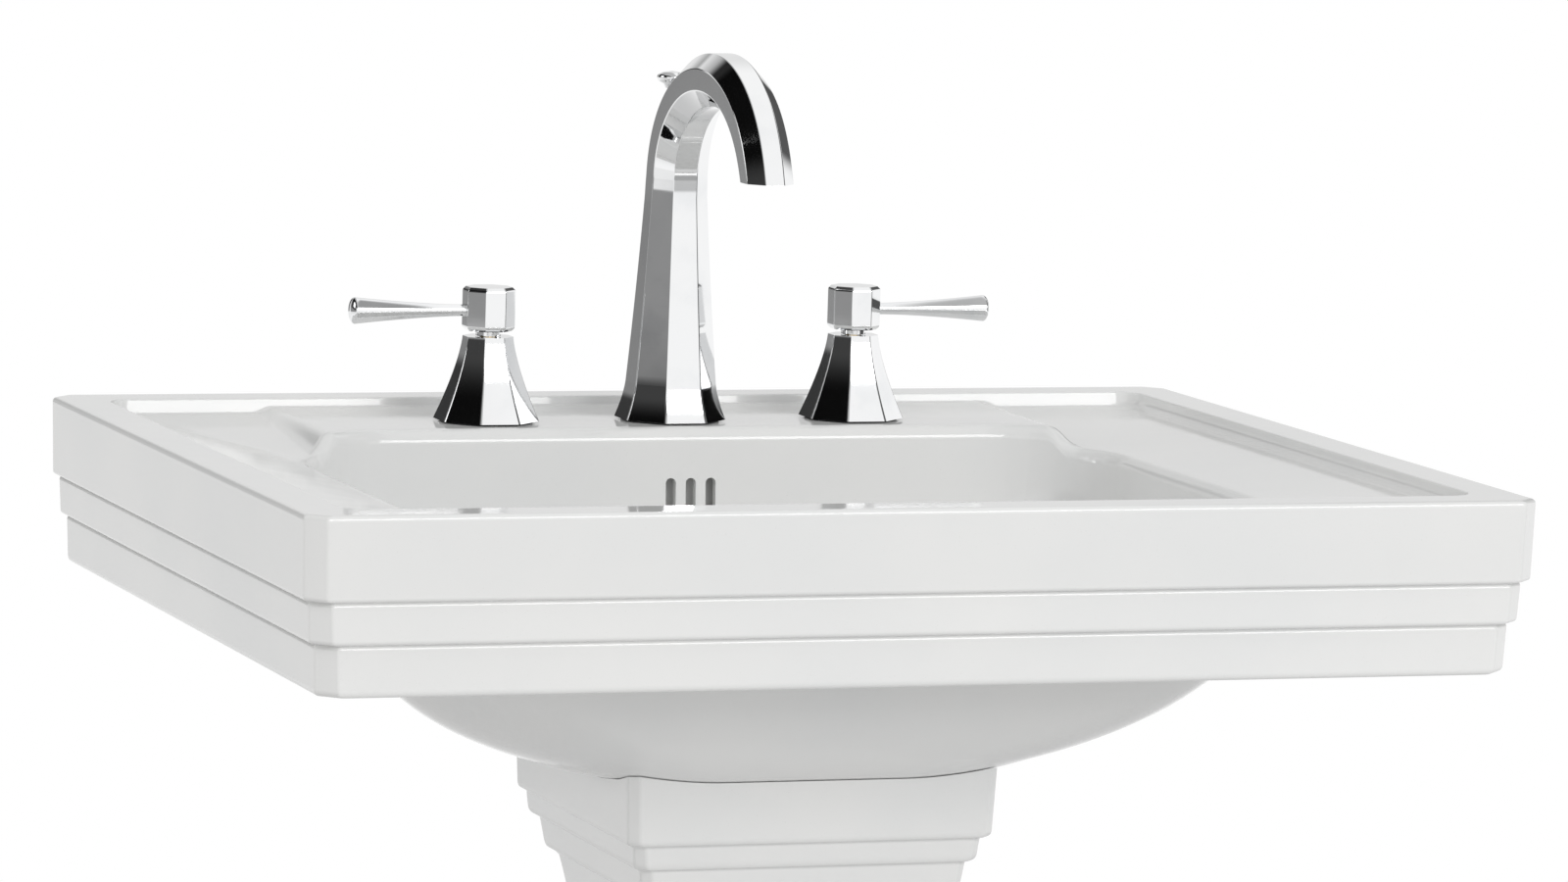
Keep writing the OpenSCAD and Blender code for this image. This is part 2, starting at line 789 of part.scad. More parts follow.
module valve_stem(side) {
  color("goldenrod")
  at_tap(side, deck_z + stem_low) cylinder(r = stem_r, h = stem_high - stem_low);
}

module left_valve_stem() {
  valve_stem(-1);
}

module right_valve_stem() {
  valve_stem(1);
}

module handle_hub(side) {
  edge = 1.6;
  skirt_r = 6.5;
  color("silver")
  difference() {
    union() {
      at_tap(side, hub_z) loft([
        eight(0, 0, 0, hub_across - 2 * edge), eight(0, edge, 0, hub_across),
        eight(0, hub_h - edge, 0, hub_across), eight(0, hub_h, 0, hub_across - 2 * edge)
      ], true);
      at_tap(side, hub_z - hub_gap + 0.3) cylinder(r = skirt_r, h = hub_gap + 1);
    }
    at_tap(side, hub_z - hub_gap) cylinder(r = stem_r + run_gap, h = stem_high - bell_h - gasket_t + 0.3);
    translate([side * tap_x, tap_y, lever_z]) rotate([0, side * 90, 0])
      translate([0, 0, hub_across / 2 - 4]) cylinder(r = lever_thin + fit_gap, h = 6);
    translate([side * tap_x, tap_y, lever_z]) rotate([-90, 0, 0]) cylinder(r = 2, h = 20);
  }
}

module left_handle_hub() {
  handle_hub(-1);
}

module right_handle_hub() {
  handle_hub(1);
}

// Lever that swells towards its tip and ends in a low dome
module lever(side) {
  root = hub_across / 2 - 3.8;
  neck = hub_across / 2 + 3;
  dome = 3;
  steps = 8;
  flare = [for (i = [0:steps])
    [mix(lever_thin, lever_thick, pow(i / steps, 1.5)), mix(neck, lever_reach - dome, i / steps)]];
  color("silver")
  translate([side * tap_x, tap_y, lever_z]) rotate([0, side * 90, 0])
  rotate_extrude()
  polygon(concat(
    [[0, root], [lever_thin, root]], flare,
    [for (a = [20:20:80]) [lever_thick * cos(a), lever_reach - dome + dome * sin(a)]],
    [[0, lever_reach]]));
}

module left_lever() {
  lever(-1);
}

module right_lever() {
  lever(1);
}

module set_screw(side) {
  color("dimgray")
  translate([side * tap_x, tap_y, lever_z]) rotate([-90, 0, 0])
  translate([0, 0, stem_r + 0.1])
  difference() {
    cylinder(r = 1.95, h = hub_across / 2 - stem_r - 1);
    translate([0, 0, hub_across / 2 - stem_r - 3]) cylinder(r = 1.1, h = 3, $fn = 6);
  }
}

module left_set_screw() {
  set_screw(-1);
}

module right_set_screw() {
  set_screw(1);
}

module connecting_tube(side) {
  start = tee_r + stub_len + 0.3;
  color("peru")
  translate([side * start, spout_shank_y, tube_z]) rotate([0, side * 90, 0])
  tube(tube_r, tube_r - 1, tap_x - 2 * start);
}

module left_connecting_tube() {
  connecting_tube(-1);
}

module right_connecting_tube() {
  connecting_tube(1);
}

// Nut that holds a connecting tube to a stub, drawn with the stub side at the bottom
module coupling_nut() {
  difference() {
    cylinder(r = coupling_across / 2 / cos(30), h = coupling_len, $fn = 6);
    translate([0, 0, -1]) cylinder(r = stub_r + fit_gap, h = 7.3);
    cylinder(r = tube_r + fit_gap, h = coupling_len + 1);
  }
}

module coupling_nuts() {
  start = tee_r + stub_len - 6;
  color("goldenrod")
  for (s = [-1, 1]) {
    translate([s * start, spout_shank_y, tube_z]) rotate([0, s * 90, 0]) coupling_nut();
    translate([s * (tap_x - start), spout_shank_y, tube_z]) rotate([0, -s * 90, 0]) coupling_nut();
  }
}

// Pop-up waste

module lift_rod() {
  color("silver")
  translate([0, rod_y, block_z + 2]) cylinder(r = rod_r, h = knob_z + 4 - block_z - 2);
}

module lift_knob() {
  color("silver")
  translate([0, rod_y, knob_z])
  difference() {
    rotate_extrude() polygon(concat(
      [[0, 0], [knob_r - 4.5, 0], [knob_r - 3.5, 2], [knob_r - 0.8, 3.4]],
      [for (a = [-30:30:60]) [knob_r - 1.5 + 1.5 * cos(a), knob_h - 3.4 + 1.8 * sin(a)]],
      [[knob_r - 3, knob_h - 0.8], [0, knob_h]]));
    translate([0, 0, -1]) cylinder(r = rod_r, h = 5);
  }
}

module clevis_strap() {
  block = 12;
  color("silver")
  difference() {
    union() {
      translate([-block / 2, rod_y - block / 2, block_z]) cube([block, block, block_h]);
      translate([-5, rod_y - 0.8, strap_end]) cube([10, 1.6, block_z + 1 - strap_end]);
    }
    translate([0, rod_y, block_z + 2]) cylinder(r = rod_r + run_gap, h = block_h);
    translate([0, rod_y, block_z + block_h / 2]) rotate([0, 90, 0]) cylinder(r = 2 + run_gap, h = block);
    for (i = [0:5]) {
      translate([0, rod_y - 2, pivot_z + i * strap_pitch]) rotate([-90, 0, 0]) cylinder(r = pivot_r + 1, h = 4);
    }
  }
}

module clevis_screw() {
  start = rod_r + 0.1;
  color("goldenrod")
  translate([0, rod_y, block_z + block_h / 2]) rotate([0, 90, 0]) {
    translate([0, 0, start]) cylinder(r = 2, h = 6.3 + 4 - start);
    translate([0, 0, 6.3]) cylinder(r = 5.5, h = 3, $fn = 20);
  }
}

// Folded strip whose two leaves hold the pivot rod on both sides of the strap
module spring_clip() {
  leaf = 0.7;
  reach = 5;
  low = strap_end - 0.3 - leaf;
  color("silver")
  translate([0, rod_y, 0])
  difference() {
    translate([-4, -reach, low]) cube([8, 2 * reach, pivot_z + 8 - low]);
    translate([-6, -reach + leaf, low + leaf]) cube([12, 2 * (reach - leaf), 60]);
    for (rise = [-0.7, 0.5, 1.7]) {
      translate([0, -reach - 1, pivot_z + rise]) rotate([-90, 0, 0]) cylinder(r = pivot_r + 0.6, h = 2 * reach + 2);
    }
  }
}

module pivot_rod() {
  color("silver")
  union() {
    translate([0, waste_y - 4, pivot_z]) rotate([-90, 0, 0]) cylinder(r = pivot_r, h = rod_y + 16 - waste_y);
    translate([0, ball_y, pivot_z]) sphere(r = ball_r);
  }
}

module pivot_seat() {
  start = waste_y + body_r + 0.6;
  stop = ball_y - sqrt(ball_r * ball_r - rod_pass_r * rod_pass_r) - 0.3;
  color("ivory")
  translate([0, start, pivot_z]) rotate([-90, 0, 0]) tube(port_bore_r - 0.1, rod_pass_r, stop - start);
}

module pivot_nut() {
  wall = 3;
  inside = ball_y + ball_r + 0.3;
  start = inside - 10;
  color("silver")
  translate([0, start, pivot_z]) rotate([-90, 0, 0])
  difference() {
    cylinder(r = port_r + 3.4, h = inside - start + wall, $fn = 12);
    translate([0, 0, -1]) cylinder(r = port_r + fit_gap, h = inside - start + 1);
    cylinder(r = rod_pass_r, h = 30);
  }
}

module drain_flange() {
  low = -28;
  color("silver")
  translate([0, waste_y, flange_z])
  rotate_extrude($fn = 72)
  polygon([
    [throat_r, low], [flange_tube_r, low], [flange_tube_r, 0], [flange_r, 0],
    [flange_r, flange_t - 1.6], [flange_r - 1.4, flange_t - 0.5], [flange_r - 4, flange_t],
    [dish_r, flange_t], [throat_r, 0]
  ]);
}

module flange_gasket() {
  color("dimgray")
  translate([0, waste_y, flange_seat]) tube(flange_r - 0.5, waste_hole_r + 0.3, gasket_t);
}

module drain_body() {
  top = flange_z - 2 - body_end;
  color("silver")
  difference() {
    union() {
      translate([0, waste_y, body_end]) cylinder(r = body_r, h = top);
      translate([0, waste_y, pivot_z]) rotate([-90, 0, 0]) cylinder(r = port_r, h = port_end - waste_y);
    }
    translate([0, waste_y, tail_top]) cylinder(r = throat_r, h = top);
    translate([0, waste_y, flange_z - 29]) cylinder(r = flange_tube_r + fit_gap, h = 40);
    translate([0, waste_y, body_end - 1]) cylinder(r = neck_r + fit_gap, h = 40);
    translate([0, waste_y, pivot_z]) rotate([-90, 0, 0]) cylinder(r = rod_pass_r, h = 60);
    translate([0, waste_y + body_r + 0.6, pivot_z]) rotate([-90, 0, 0]) cylinder(r = port_bore_r, h = 60);
    translate([0, waste_y, bowl_floor - 9]) rotate([-90, 0, 0]) cylinder(r = 3, h = 40);
  }
}

module drain_gasket() {
  color("dimgray")
  translate([0, waste_y, boss_z - drain_gasket_t])
    tube(waste_hole_r + 10, body_r + fit_gap, drain_gasket_t);
}

module drain_locknut() {
  color("goldenrod")
  translate([0, waste_y, boss_z - drain_gasket_t - locknut_h])
    hex_nut(locknut_across, body_r + fit_gap, locknut_h);
}

// Tube whose turned-down neck is pushed up into the drain body
module tailpiece() {
  color("silver")
  translate([0, waste_y, tail_bottom])
  difference() {
    union() {
      cylinder(r = tail_r, h = neck_low - tail_bottom);
      cylinder(r = neck_r, h = tail_len);
    }
    translate([0, 0, -1]) cylinder(r = tail_r - tail_wall, h = tail_len + 2);
  }
}

// Height of the stopper's cap above its shut place is the lift of the pivot rod's inner end
cap_z = flange_z + flange_t + 0.3 + stopper_lift;

module stopper() {
  cap_r = 21.5;
  cap_t = 3.6;
  paddle = 13;
  color("silver")
  difference() {
    union() {
      translate([0, waste_y, cap_z]) rotate_extrude($fn = 72) polygon([
        [0, 0], [cap_r, 0], [cap_r, cap_t * 0.45], [cap_r - 1.2, cap_t * 0.75], [cap_r * 0.6, cap_t], [0, cap_t + 0.6]]);
      translate([0, waste_y, pivot_z + 10]) cylinder(r = post_r, h = cap_z - pivot_z - 9);
      translate([-4.5, waste_y - 2.5, pivot_z - paddle / 2]) cube([9, 5, paddle + 10]);
      for (a = [0, 90]) {
        translate([0, waste_y, pivot_z + 14]) rotate(a)
          translate([-throat_r + 0.6, -0.8, 0]) cube([2 * throat_r - 1.2, 1.6, cap_z - 3 - pivot_z - 14]);
      }
    }
    translate([0, waste_y - 10, pivot_z]) rotate([-90, 0, 0]) cylinder(r = pivot_r + 1, h = 20);
  }
}

module stopper_seal() {
  color("dimgray")
  translate([0, waste_y, cap_z - 2]) tube(seal_r, post_r + fit_gap, 2);
}

basin();
pedestal();
spout_body();
spout_aerator();
spout_gasket();
spout_shank();
spout_washer();
spout_nut();
spout_tee();
left_bell();
right_bell();
bell_gaskets();
left_valve_body();
right_valve_body();
left_bonnet_nut();
right_bonnet_nut();
valve_washers();
valve_nuts();
left_valve_stem();
right_valve_stem();
left_handle_hub();
right_handle_hub();
left_lever();
right_lever();
left_set_screw();
right_set_screw();
left_connecting_tube();
right_connecting_tube();
coupling_nuts();
lift_rod();
lift_knob();
clevis_strap();
clevis_screw();
spring_clip();
pivot_rod();
pivot_seat();
pivot_nut();
drain_flange();
flange_gasket();
drain_body();
drain_gasket();
drain_locknut();
tailpiece();
stopper();
stopper_seal();
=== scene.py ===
"""Looks of a pedestal washbasin: glazed china, chromed taps and pop-up waste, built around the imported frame."""

import json
import math

import bmesh
import bpy
import numpy as np
from mathutils import Matrix, Vector

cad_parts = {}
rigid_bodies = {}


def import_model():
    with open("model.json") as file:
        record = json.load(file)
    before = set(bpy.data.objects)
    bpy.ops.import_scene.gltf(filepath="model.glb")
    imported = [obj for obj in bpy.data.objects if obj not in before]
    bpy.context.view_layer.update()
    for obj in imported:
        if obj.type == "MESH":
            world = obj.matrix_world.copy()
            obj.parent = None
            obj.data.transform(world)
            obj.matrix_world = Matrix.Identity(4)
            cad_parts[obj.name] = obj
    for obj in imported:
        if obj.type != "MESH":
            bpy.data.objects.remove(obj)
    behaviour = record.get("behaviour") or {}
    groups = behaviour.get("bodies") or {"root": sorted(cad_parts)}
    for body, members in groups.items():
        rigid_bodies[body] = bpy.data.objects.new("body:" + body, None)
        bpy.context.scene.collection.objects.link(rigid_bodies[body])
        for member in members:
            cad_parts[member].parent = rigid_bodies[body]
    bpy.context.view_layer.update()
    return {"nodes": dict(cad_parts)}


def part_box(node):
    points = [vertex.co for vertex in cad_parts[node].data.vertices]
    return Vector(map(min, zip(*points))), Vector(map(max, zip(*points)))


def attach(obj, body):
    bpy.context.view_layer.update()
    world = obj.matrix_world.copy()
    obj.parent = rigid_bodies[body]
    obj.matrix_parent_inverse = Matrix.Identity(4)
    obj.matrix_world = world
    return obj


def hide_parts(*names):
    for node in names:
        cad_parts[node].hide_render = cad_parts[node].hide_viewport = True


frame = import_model()
scene = bpy.context.scene
MM = 0.001
QUARTER = math.pi / 2

# Places in millimetres, taken from the frame


def box_mm(node):
    """Lowest and highest corner of a CAD node."""
    low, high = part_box(node)
    return np.array(low) / MM, np.array(high) / MM


def middle(node):
    low, high = box_mm(node)
    return (low + high) / 2


half_w, half_d, rim_z = box_mm("basin")[1]
deck_z = box_mm("bell_gaskets")[0][2]
foot_z = box_mm("spout_gasket")[1][2]
tap_x, tap_y, _ = middle("right_valve_stem")
waste_y = middle("tailpiece")[1]
rod_y = middle("lift_rod")[1]
recess_z = box_mm("flange_gasket")[0][2]
boss_z = box_mm("drain_gasket")[1][2]

# Meshes


def mesh_object(name, points, faces):
    """Closed piece from points in millimetres, doubled points merged and every face turned outwards."""
    data = bpy.data.meshes.new(name)
    data.from_pydata((np.asarray(points, float) * MM).tolist(), [], faces)
    clean(data)
    obj = bpy.data.objects.new(name, data)
    scene.collection.objects.link(obj)
    return obj


def clean(data):
    """Merges doubled points and turns the faces of a closed mesh outwards."""
    shape = bmesh.new()
    shape.from_mesh(data)
    bmesh.ops.remove_doubles(shape, verts=shape.verts, dist=2e-6)
    bmesh.ops.recalc_face_normals(shape, faces=shape.faces)
    if shape.calc_volume(signed=True) < 0:
        bmesh.ops.reverse_faces(shape, faces=shape.faces)
    shape.to_mesh(data)
    shape.free()


def bake_modifiers(obj):
    """Gives an object the plain mesh that its modifiers make."""
    graph = bpy.context.evaluated_depsgraph_get()
    made = bpy.data.meshes.new_from_object(obj.evaluated_get(graph))
    obj.modifiers.clear()
    obj.data = made


def cut(obj, *tools, operation="DIFFERENCE"):
    """Cuts an object with closed tools, or joins them to it, and removes the tools."""
    for tool in tools:
        step = obj.modifiers.new("cut", "BOOLEAN")
        step.operation = operation
        step.solver = "MANIFOLD"
        step.object = tool
        bake_modifiers(obj)
        bpy.data.objects.remove(tool)
    return obj


def round_edges(obj, width, segments, angle):
    """Rounds the edges sharper than an angle in degrees over a width in millimetres."""
    edge = obj.modifiers.new("edges", "BEVEL")
    edge.width = width * MM
    edge.segments = segments
    edge.limit_method = "ANGLE"
    edge.angle_limit = math.radians(angle)
    bake_modifiers(obj)


def dress(obj, slot, body="root", replaced=(), sharp=35):
    """Smooth shading, the material of a finish slot, and the body of a finished piece."""
    data = obj.data
    data.name = obj.name
    data.materials.clear()
    data.materials.append(FINISHES[slot])
    data.polygons.foreach_set("material_index", [0] * len(data.polygons))
    data.shade_smooth()
    data.set_sharp_from_angle(angle=math.radians(sharp))
    normals = obj.modifiers.new("broad faces first", "WEIGHTED_NORMAL")
    normals.keep_sharp = True
    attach(obj, body)
    if replaced:
        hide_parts(*replaced)


def skin(name, rows, ends="poles"):
    """Closed piece through rows of equal length; its ends are caps, poles or joined to each other."""
    rows = np.asarray(rows, float)
    count, n = rows.shape[:2]
    points = rows.reshape(-1, 3).tolist()
    index = np.arange(count * n).reshape(count, n)
    faces = []
    for j in range(count if ends == "joined" else count - 1):
        a, b = index[j], index[(j + 1) % count]
        faces += np.stack([a, np.roll(a, -1), np.roll(b, -1), b], 1).tolist()
    if ends == "caps":
        faces += [index[0][::-1].tolist(), index[-1].tolist()]
    if ends == "poles":
        for row in (0, count - 1):
            ring = index[row] if row else index[row][::-1]
            points.append(rows[row].mean(0).tolist())
            faces += [[len(points) - 1, int(a), int(b)] for a, b in zip(ring, np.roll(ring, -1))]
    return mesh_object(name, points, faces)


def rounded(before, here, after, reach, steps):
    """Curve round a corner, over a reach to both sides of it."""
    start = here + (before - here) / np.linalg.norm(before - here) * reach
    end = here + (after - here) / np.linalg.norm(after - here) * reach
    return [(1 - t) ** 2 * start + 2 * t * (1 - t) * here + t * t * end for t in np.linspace(0, 1, steps + 1)]


def soften(corners, radii, steps=5):
    """Polyline in any number of dimensions with its corners rounded over radii[i] to each side."""
    corners = [np.asarray(c, float) for c in corners]
    line = [corners[0]]
    for i in range(1, len(corners) - 1):
        before, here, after = corners[i - 1 : i + 2]
        reach = min(radii[i], 0.48 * np.linalg.norm(before - here), 0.48 * np.linalg.norm(after - here))
        line += rounded(before, here, after, reach, steps) if reach > 0 else [here]
    return line + [corners[-1]]


def soft_loop(corners, reach, steps=3):
    """Closed outline with each corner rounded over a reach to both sides."""
    corners = np.asarray(corners, float)
    points = []
    for before, here, after in zip(np.roll(corners, 1, 0), corners, np.roll(corners, -1, 0)):
        points += rounded(before, here, after, reach, steps)
    return np.array(points)


def spun(name, profile, centre, axis="z", segments=96):
    """Profile of (radius, distance) pairs turned about an axis through centre."""
    turn = np.linspace(0, 2 * math.pi, segments, endpoint=False)
    c, s = np.cos(turn), np.sin(turn)
    rows = []
    for r, h in profile:
        r, along = max(r, 1e-3), np.full(segments, float(h))
        row = {"z": (r * c, r * s, along), "y": (r * s, along, r * c),
               "x": (along, r * c, r * s), "-x": (-along, r * c, r * s)}
        rows.append(np.stack(row[axis], 1) + np.asarray(centre, float))
    return skin(name, rows)


def rod(centre, axis, radius, start, end):
    return spun("rod", [(radius, start), (radius, end)], centre, axis, 64)


def block(low, high):
    (x0, y0, z0), (x1, y1, z1) = low, high
    ring = [(x0, y0), (x1, y0), (x1, y1), (x0, y1)]
    return skin("block", [[(x, y, z) for x, y in ring] for z in (z0, z1)], "caps")


def mix(a, b, t):
    return a + (b - a) * t


def smooth_step(low, high, x):
    """Goes from 0 to 1 while x goes from low to high, which may also lie below it."""
    t = np.clip((x - low) / (high - low), 0, 1)
    return t * t * (3 - 2 * t)


def smooth_max(a, b, width):
    """Larger of two heights, the inner corner between them filled over a width."""
    near = np.clip(width - np.abs(a - b), 0, None) / width
    return np.maximum(a, b) + near * near * width / 4


def smooth_min(a, b, width):
    return -smooth_max(-a, -b, width)


# Materials


class Number:
    """Number in a shader tree that takes part in arithmetic."""

    def __init__(self, finish, socket):
        self.finish = finish
        self.socket = socket

    def math(self, operation, *others):
        inputs = dict(enumerate([self, *others]))
        return self.finish.number("ShaderNodeMath", {"operation": operation}, inputs)

    def __add__(self, other):
        return self.math("ADD", other)

    def __sub__(self, other):
        return self.math("SUBTRACT", other)

    def __rsub__(self, other):
        return (self * -1).math("ADD", other)

    def __mul__(self, other):
        return self.math("MULTIPLY", other)

    __radd__ = __add__

    def ramp(self, low, high, start, end):
        """Goes from start to end while this number goes from low to high."""
        settings = {"interpolation_type": "SMOOTHSTEP", "clamp": True}
        inputs = {"Value": self, "From Min": low, "From Max": high, "To Min": start, "To Max": end}
        return self.finish.number("ShaderNodeMapRange", settings, inputs)


class Finish:
    """Node tree of a material or a world."""

    def __init__(self, owner):
        owner.use_nodes = True
        self.owner = owner
        self.tree = owner.node_tree
        self.tree.nodes.clear()

    def node(self, kind, settings=None, inputs=None):
        made = self.tree.nodes.new(kind)
        for name, value in (settings or {}).items():
            setattr(made, name, value)
        for name, value in (inputs or {}).items():
            if isinstance(value, Number):
                value = value.socket
            if isinstance(value, bpy.types.NodeSocket):
                self.tree.links.new(value, made.inputs[name])
            else:
                made.inputs[name].default_value = value
        return made

    def number(self, kind, settings=None, inputs=None, output=0):
        return Number(self, self.node(kind, settings, inputs).outputs[output])

    def place(self):
        return self.node("ShaderNodeTexCoord").outputs["Object"]

    def noise(self, scale, detail=2, stretch=(1, 1, 1)):
        stretched = self.node("ShaderNodeMapping", None, {"Vector": self.place(), "Scale": stretch})
        inputs = {"Vector": stretched.outputs[0], "Scale": scale, "Detail": detail}
        return self.number("ShaderNodeTexNoise", None, inputs)

    def blend(self, factor, a, b):
        """Colour that goes from a to b with factor."""
        made = self.node("ShaderNodeMix", {"data_type": "RGBA"}, {"Factor": factor})
        for socket, value in ((made.inputs[6], a), (made.inputs[7], b)):
            if isinstance(value, bpy.types.NodeSocket):
                self.tree.links.new(value, socket)
            else:
                socket.default_value = (*value, 1)
        return made.outputs[2]

    def bump(self, height, strength, distance):
        inputs = {"Height": height, "Strength": strength, "Distance": distance}
        return self.node("ShaderNodeBump", None, inputs).outputs[0]

    def surface(self, inputs):
        shader = self.node("ShaderNodeBsdfPrincipled", None, inputs)
        self.node("ShaderNodeOutputMaterial", None, {"Surface": shader.outputs[0]})
        return self.owner


def glazed_china():
    """White body under a clear glaze that varies a little in gloss and waves a little, with a few fine pits."""
    f = Finish(bpy.data.materials.new("glazed china"))
    cloud = f.noise(9, 3)
    glaze = f.noise(26, 1)
    pits = f.noise(1400, 1).ramp(0.70, 0.78, 0, 1)
    colour = f.blend(cloud.ramp(0.3, 0.7, 0, 1), (0.80, 0.805, 0.80), (0.83, 0.83, 0.82))
    colour = f.blend(pits * 0.25, colour, (0.62, 0.62, 0.60))
    return f.surface({
        "Base Color": colour,
        "Roughness": glaze.ramp(0.3, 0.7, 0.06, 0.10),
        "IOR": 1.52,
        "Coat Weight": cloud.ramp(0.3, 0.7, 0.0, 0.08),
        "Coat Roughness": 0.03,
        "Coat IOR": 1.5,
        "Normal": f.bump(glaze, 0.15, 0.0006),
    })


def polished(name, colour, worn, rough, grain, wave=0.0002):
    """Polished metal with faint wiping marks and a slight unevenness."""
    f = Finish(bpy.data.materials.new(name))
    film = f.noise(38, 4)
    wipe = f.noise(90, 3, grain)
    tint = f.blend(film.ramp(0.45, 0.75, 0, 1), colour, worn)
    return f.surface({
        "Base Color": tint,
        "Metallic": 1,
        "Roughness": film.ramp(0.4, 0.8, rough, rough * 2) + wipe.ramp(0.5, 0.8, 0, rough * 0.5),
        "Normal": f.bump(f.noise(55, 1), 0.08, wave),
    })


def moulded(name, colour, speck, rough, scale):
    """Rubber or plastic with a fine grain."""
    f = Finish(bpy.data.materials.new(name))
    grain = f.noise(scale, 4)
    return f.surface({
        "Base Color": f.blend(grain.ramp(0.4, 0.7, 0, 1), colour, speck),
        "Roughness": f.noise(60, 2).ramp(0.3, 0.7, rough, rough + 0.12),
        "Normal": f.bump(grain, 0.25, 0.0002),
    })


FINISHES = {
    "china": glazed_china(),
    "chrome": polished("chrome", (0.90, 0.905, 0.91), (0.84, 0.85, 0.86), 0.035, (1, 1, 12)),
    "brass": polished("brass", (0.74, 0.56, 0.26), (0.62, 0.44, 0.19), 0.17, (1, 1, 20), 0.0004),
    "steel": polished("stainless steel", (0.66, 0.65, 0.63), (0.56, 0.55, 0.53), 0.22, (14, 14, 1), 0.0003),
    "copper": polished("copper", (0.80, 0.42, 0.28), (0.55, 0.27, 0.18), 0.2, (1, 6, 6), 0.0003),
    "rubber": moulded("black rubber", (0.018, 0.018, 0.019), (0.03, 0.03, 0.031), 0.62, 700),
    "dark_plastic": moulded("dark plastic", (0.03, 0.031, 0.034), (0.045, 0.046, 0.05), 0.38, 900),
    "white_plastic": moulded("white plastic", (0.70, 0.70, 0.67), (0.62, 0.62, 0.59), 0.34, 900),
}

# Basin: one closed skin of rings, each with the same number of points. Sizes are in millimetres.

BOWL_W, BOWL_D, BOWL_Y, BOWL_CORNER = 441, 279, -13.5, 58
BOWL_CURVE = 2 / 2.4  # exponent of the superellipse that the wall follows from the lip at 0 degrees to 90
WALL_END = 79  # degrees at which the wall has become the floor
FLOOR_Z = recess_z + 3
LIP = 7.5
LEDGE_LOW, LEDGE_HIGH = rim_z - 16, rim_z - 8
PLATFORM, PLATFORM_FALL = 202, 1.3  # half the tap platform's width and the slope of its ends
PLATFORM_FRONT = 60, 100  # between which the ledges go over to it
END_SOFT, FOOT_SOFT = 5, 6
RIM_W, RIM_ROUND, RIM_CORNER = 25, 1.2, 14
SIDE_FILLET, END_FILLET, RIM_LEAN = 5, 1.2, 0.23
FASCIA, BACK_ROUND, CORNER_CUT = 88, 3, 9
FASCIA_STEPS = [(6, 0), (0, 0), (1, -41), (5.5, -41.6), (4.5, -43.4), (5.5, -62), (10, -62.6), (9, -64.4),
                (10, -FASCIA), (18, -FASCIA)]  # (inset, depth)
DECK = 27  # from the rim's top to the deck's underside
CHINA = 12
SWELL = 18  # by which the bulge under the bowl is wider than the bowl
BULGE_TOP, BULGE_END, BULGE_DRAW = 12, 76, 0.055  # degrees down the wall, and the draw of its back corners
CHANNEL_PROUD, CHANNEL_SIDE, CHANNEL_END = 4, (38, 33), 70
WASTE_RINGS = [(22, boss_z), (22, recess_z), (31.6, recess_z), (32, recess_z + 0.4), (32, FLOOR_Z - 0.4),
               (32.4, FLOOR_Z + 0.3), (33.4, FLOOR_Z + 0.6)]  # (radius, height) up the waste's hole and recess
BOSS_RINGS = [(44, boss_z + 4.4), (40.5, boss_z + 3.4), (38.4, boss_z + 1), (37.6, boss_z), (22.8, boss_z)]
TAP_HOLE, FIXING_HOLE, FIXING_X, FIXING_DEPTH = 17.5, 5.5, 140, 62
SLOTS, SLOT_W, SLOT_H, SLOT_DEPTH = (-11, 0, 11), 5.6, 18, 41
CORNER_POINTS = 10
SIDES_OF_RING = range(6)  # half the back, back corner, side, front corner, half the front, and the end


def half_ring_keys():
    """Places round the right half as (place on the bowl's rings, place on the outer rings), side + fraction."""
    hx, hy, q = BOWL_W / 2 + LIP, BOWL_D / 2 + LIP, BOWL_CORNER + LIP
    outer = half_w - RIM_W - RIM_CORNER
    # Straight rows from back to front as far as the platform goes, close together at its end
    x = np.concatenate([np.linspace(0, PLATFORM - 12, 24, endpoint=False),
                        np.linspace(PLATFORM - 12, PLATFORM + 13, 34)])
    turn = np.arccos(np.clip((x - hx + q) / q, -1, 1)) / QUARTER
    bowl = np.where(x <= hx - q, x / (hx - q), 2 - turn)
    keys = list(zip(bowl, x / outer))
    # From there on (length along the bowl's ring, place on the outer rings, steps from the station before)
    lengths = np.cumsum([0, hx - q, q * QUARTER, 2 * (hy - q), q * QUARTER, hx - q])
    start, front, front_end = np.interp((bowl[-1], 3.45, 3.55), SIDES_OF_RING, lengths)
    stations = [(start, x[-1] / outer, 0), (start + 9, 1, 6), (start + 13, 2, CORNER_POINTS),
                (front, 3, 44), (front_end, 4, CORNER_POINTS), (lengths[-1], 5, 34)]
    for (a, u, _), (b, v, steps) in zip(stations, stations[1:]):
        for t in np.arange(1, steps + 1) / steps:
            keys.append((np.interp(mix(a, b, t), lengths, SIDES_OF_RING), mix(u, v, t)))
    return np.array(keys).T


bowl_key, outer_key = half_ring_keys()


def whole(x, y, z):
    """Ring of both halves from one half that runs from the middle of the back to the middle of the front."""
    right = np.stack([x, y, np.broadcast_to(z, x.shape)], 1)
    return np.concatenate([right, right[-2:0:-1] * (-1, 1, 1)])


def along_ring(key, hx, front, back, corner_x, corner_y):
    """Points on half a ring: corner_x and corner_y give a corner's reach inwards at a fraction of it."""
    side = np.minimum(key.astype(int), 4)
    t = key - side
    flat_x, flat_y = hx - corner_x(0.0), corner_y(1.0)
    sides = [side == 0, side == 1, side == 2, side == 3]
    x = np.select(sides, [flat_x * t, hx - corner_x(t), hx, hx - corner_x(1 - t)], flat_x * (1 - t))
    y = np.select(sides, [back, back - corner_y(t), mix(back - flat_y, flat_y - front, t),
                          corner_y(1 - t) - front], -front)
    return x, y


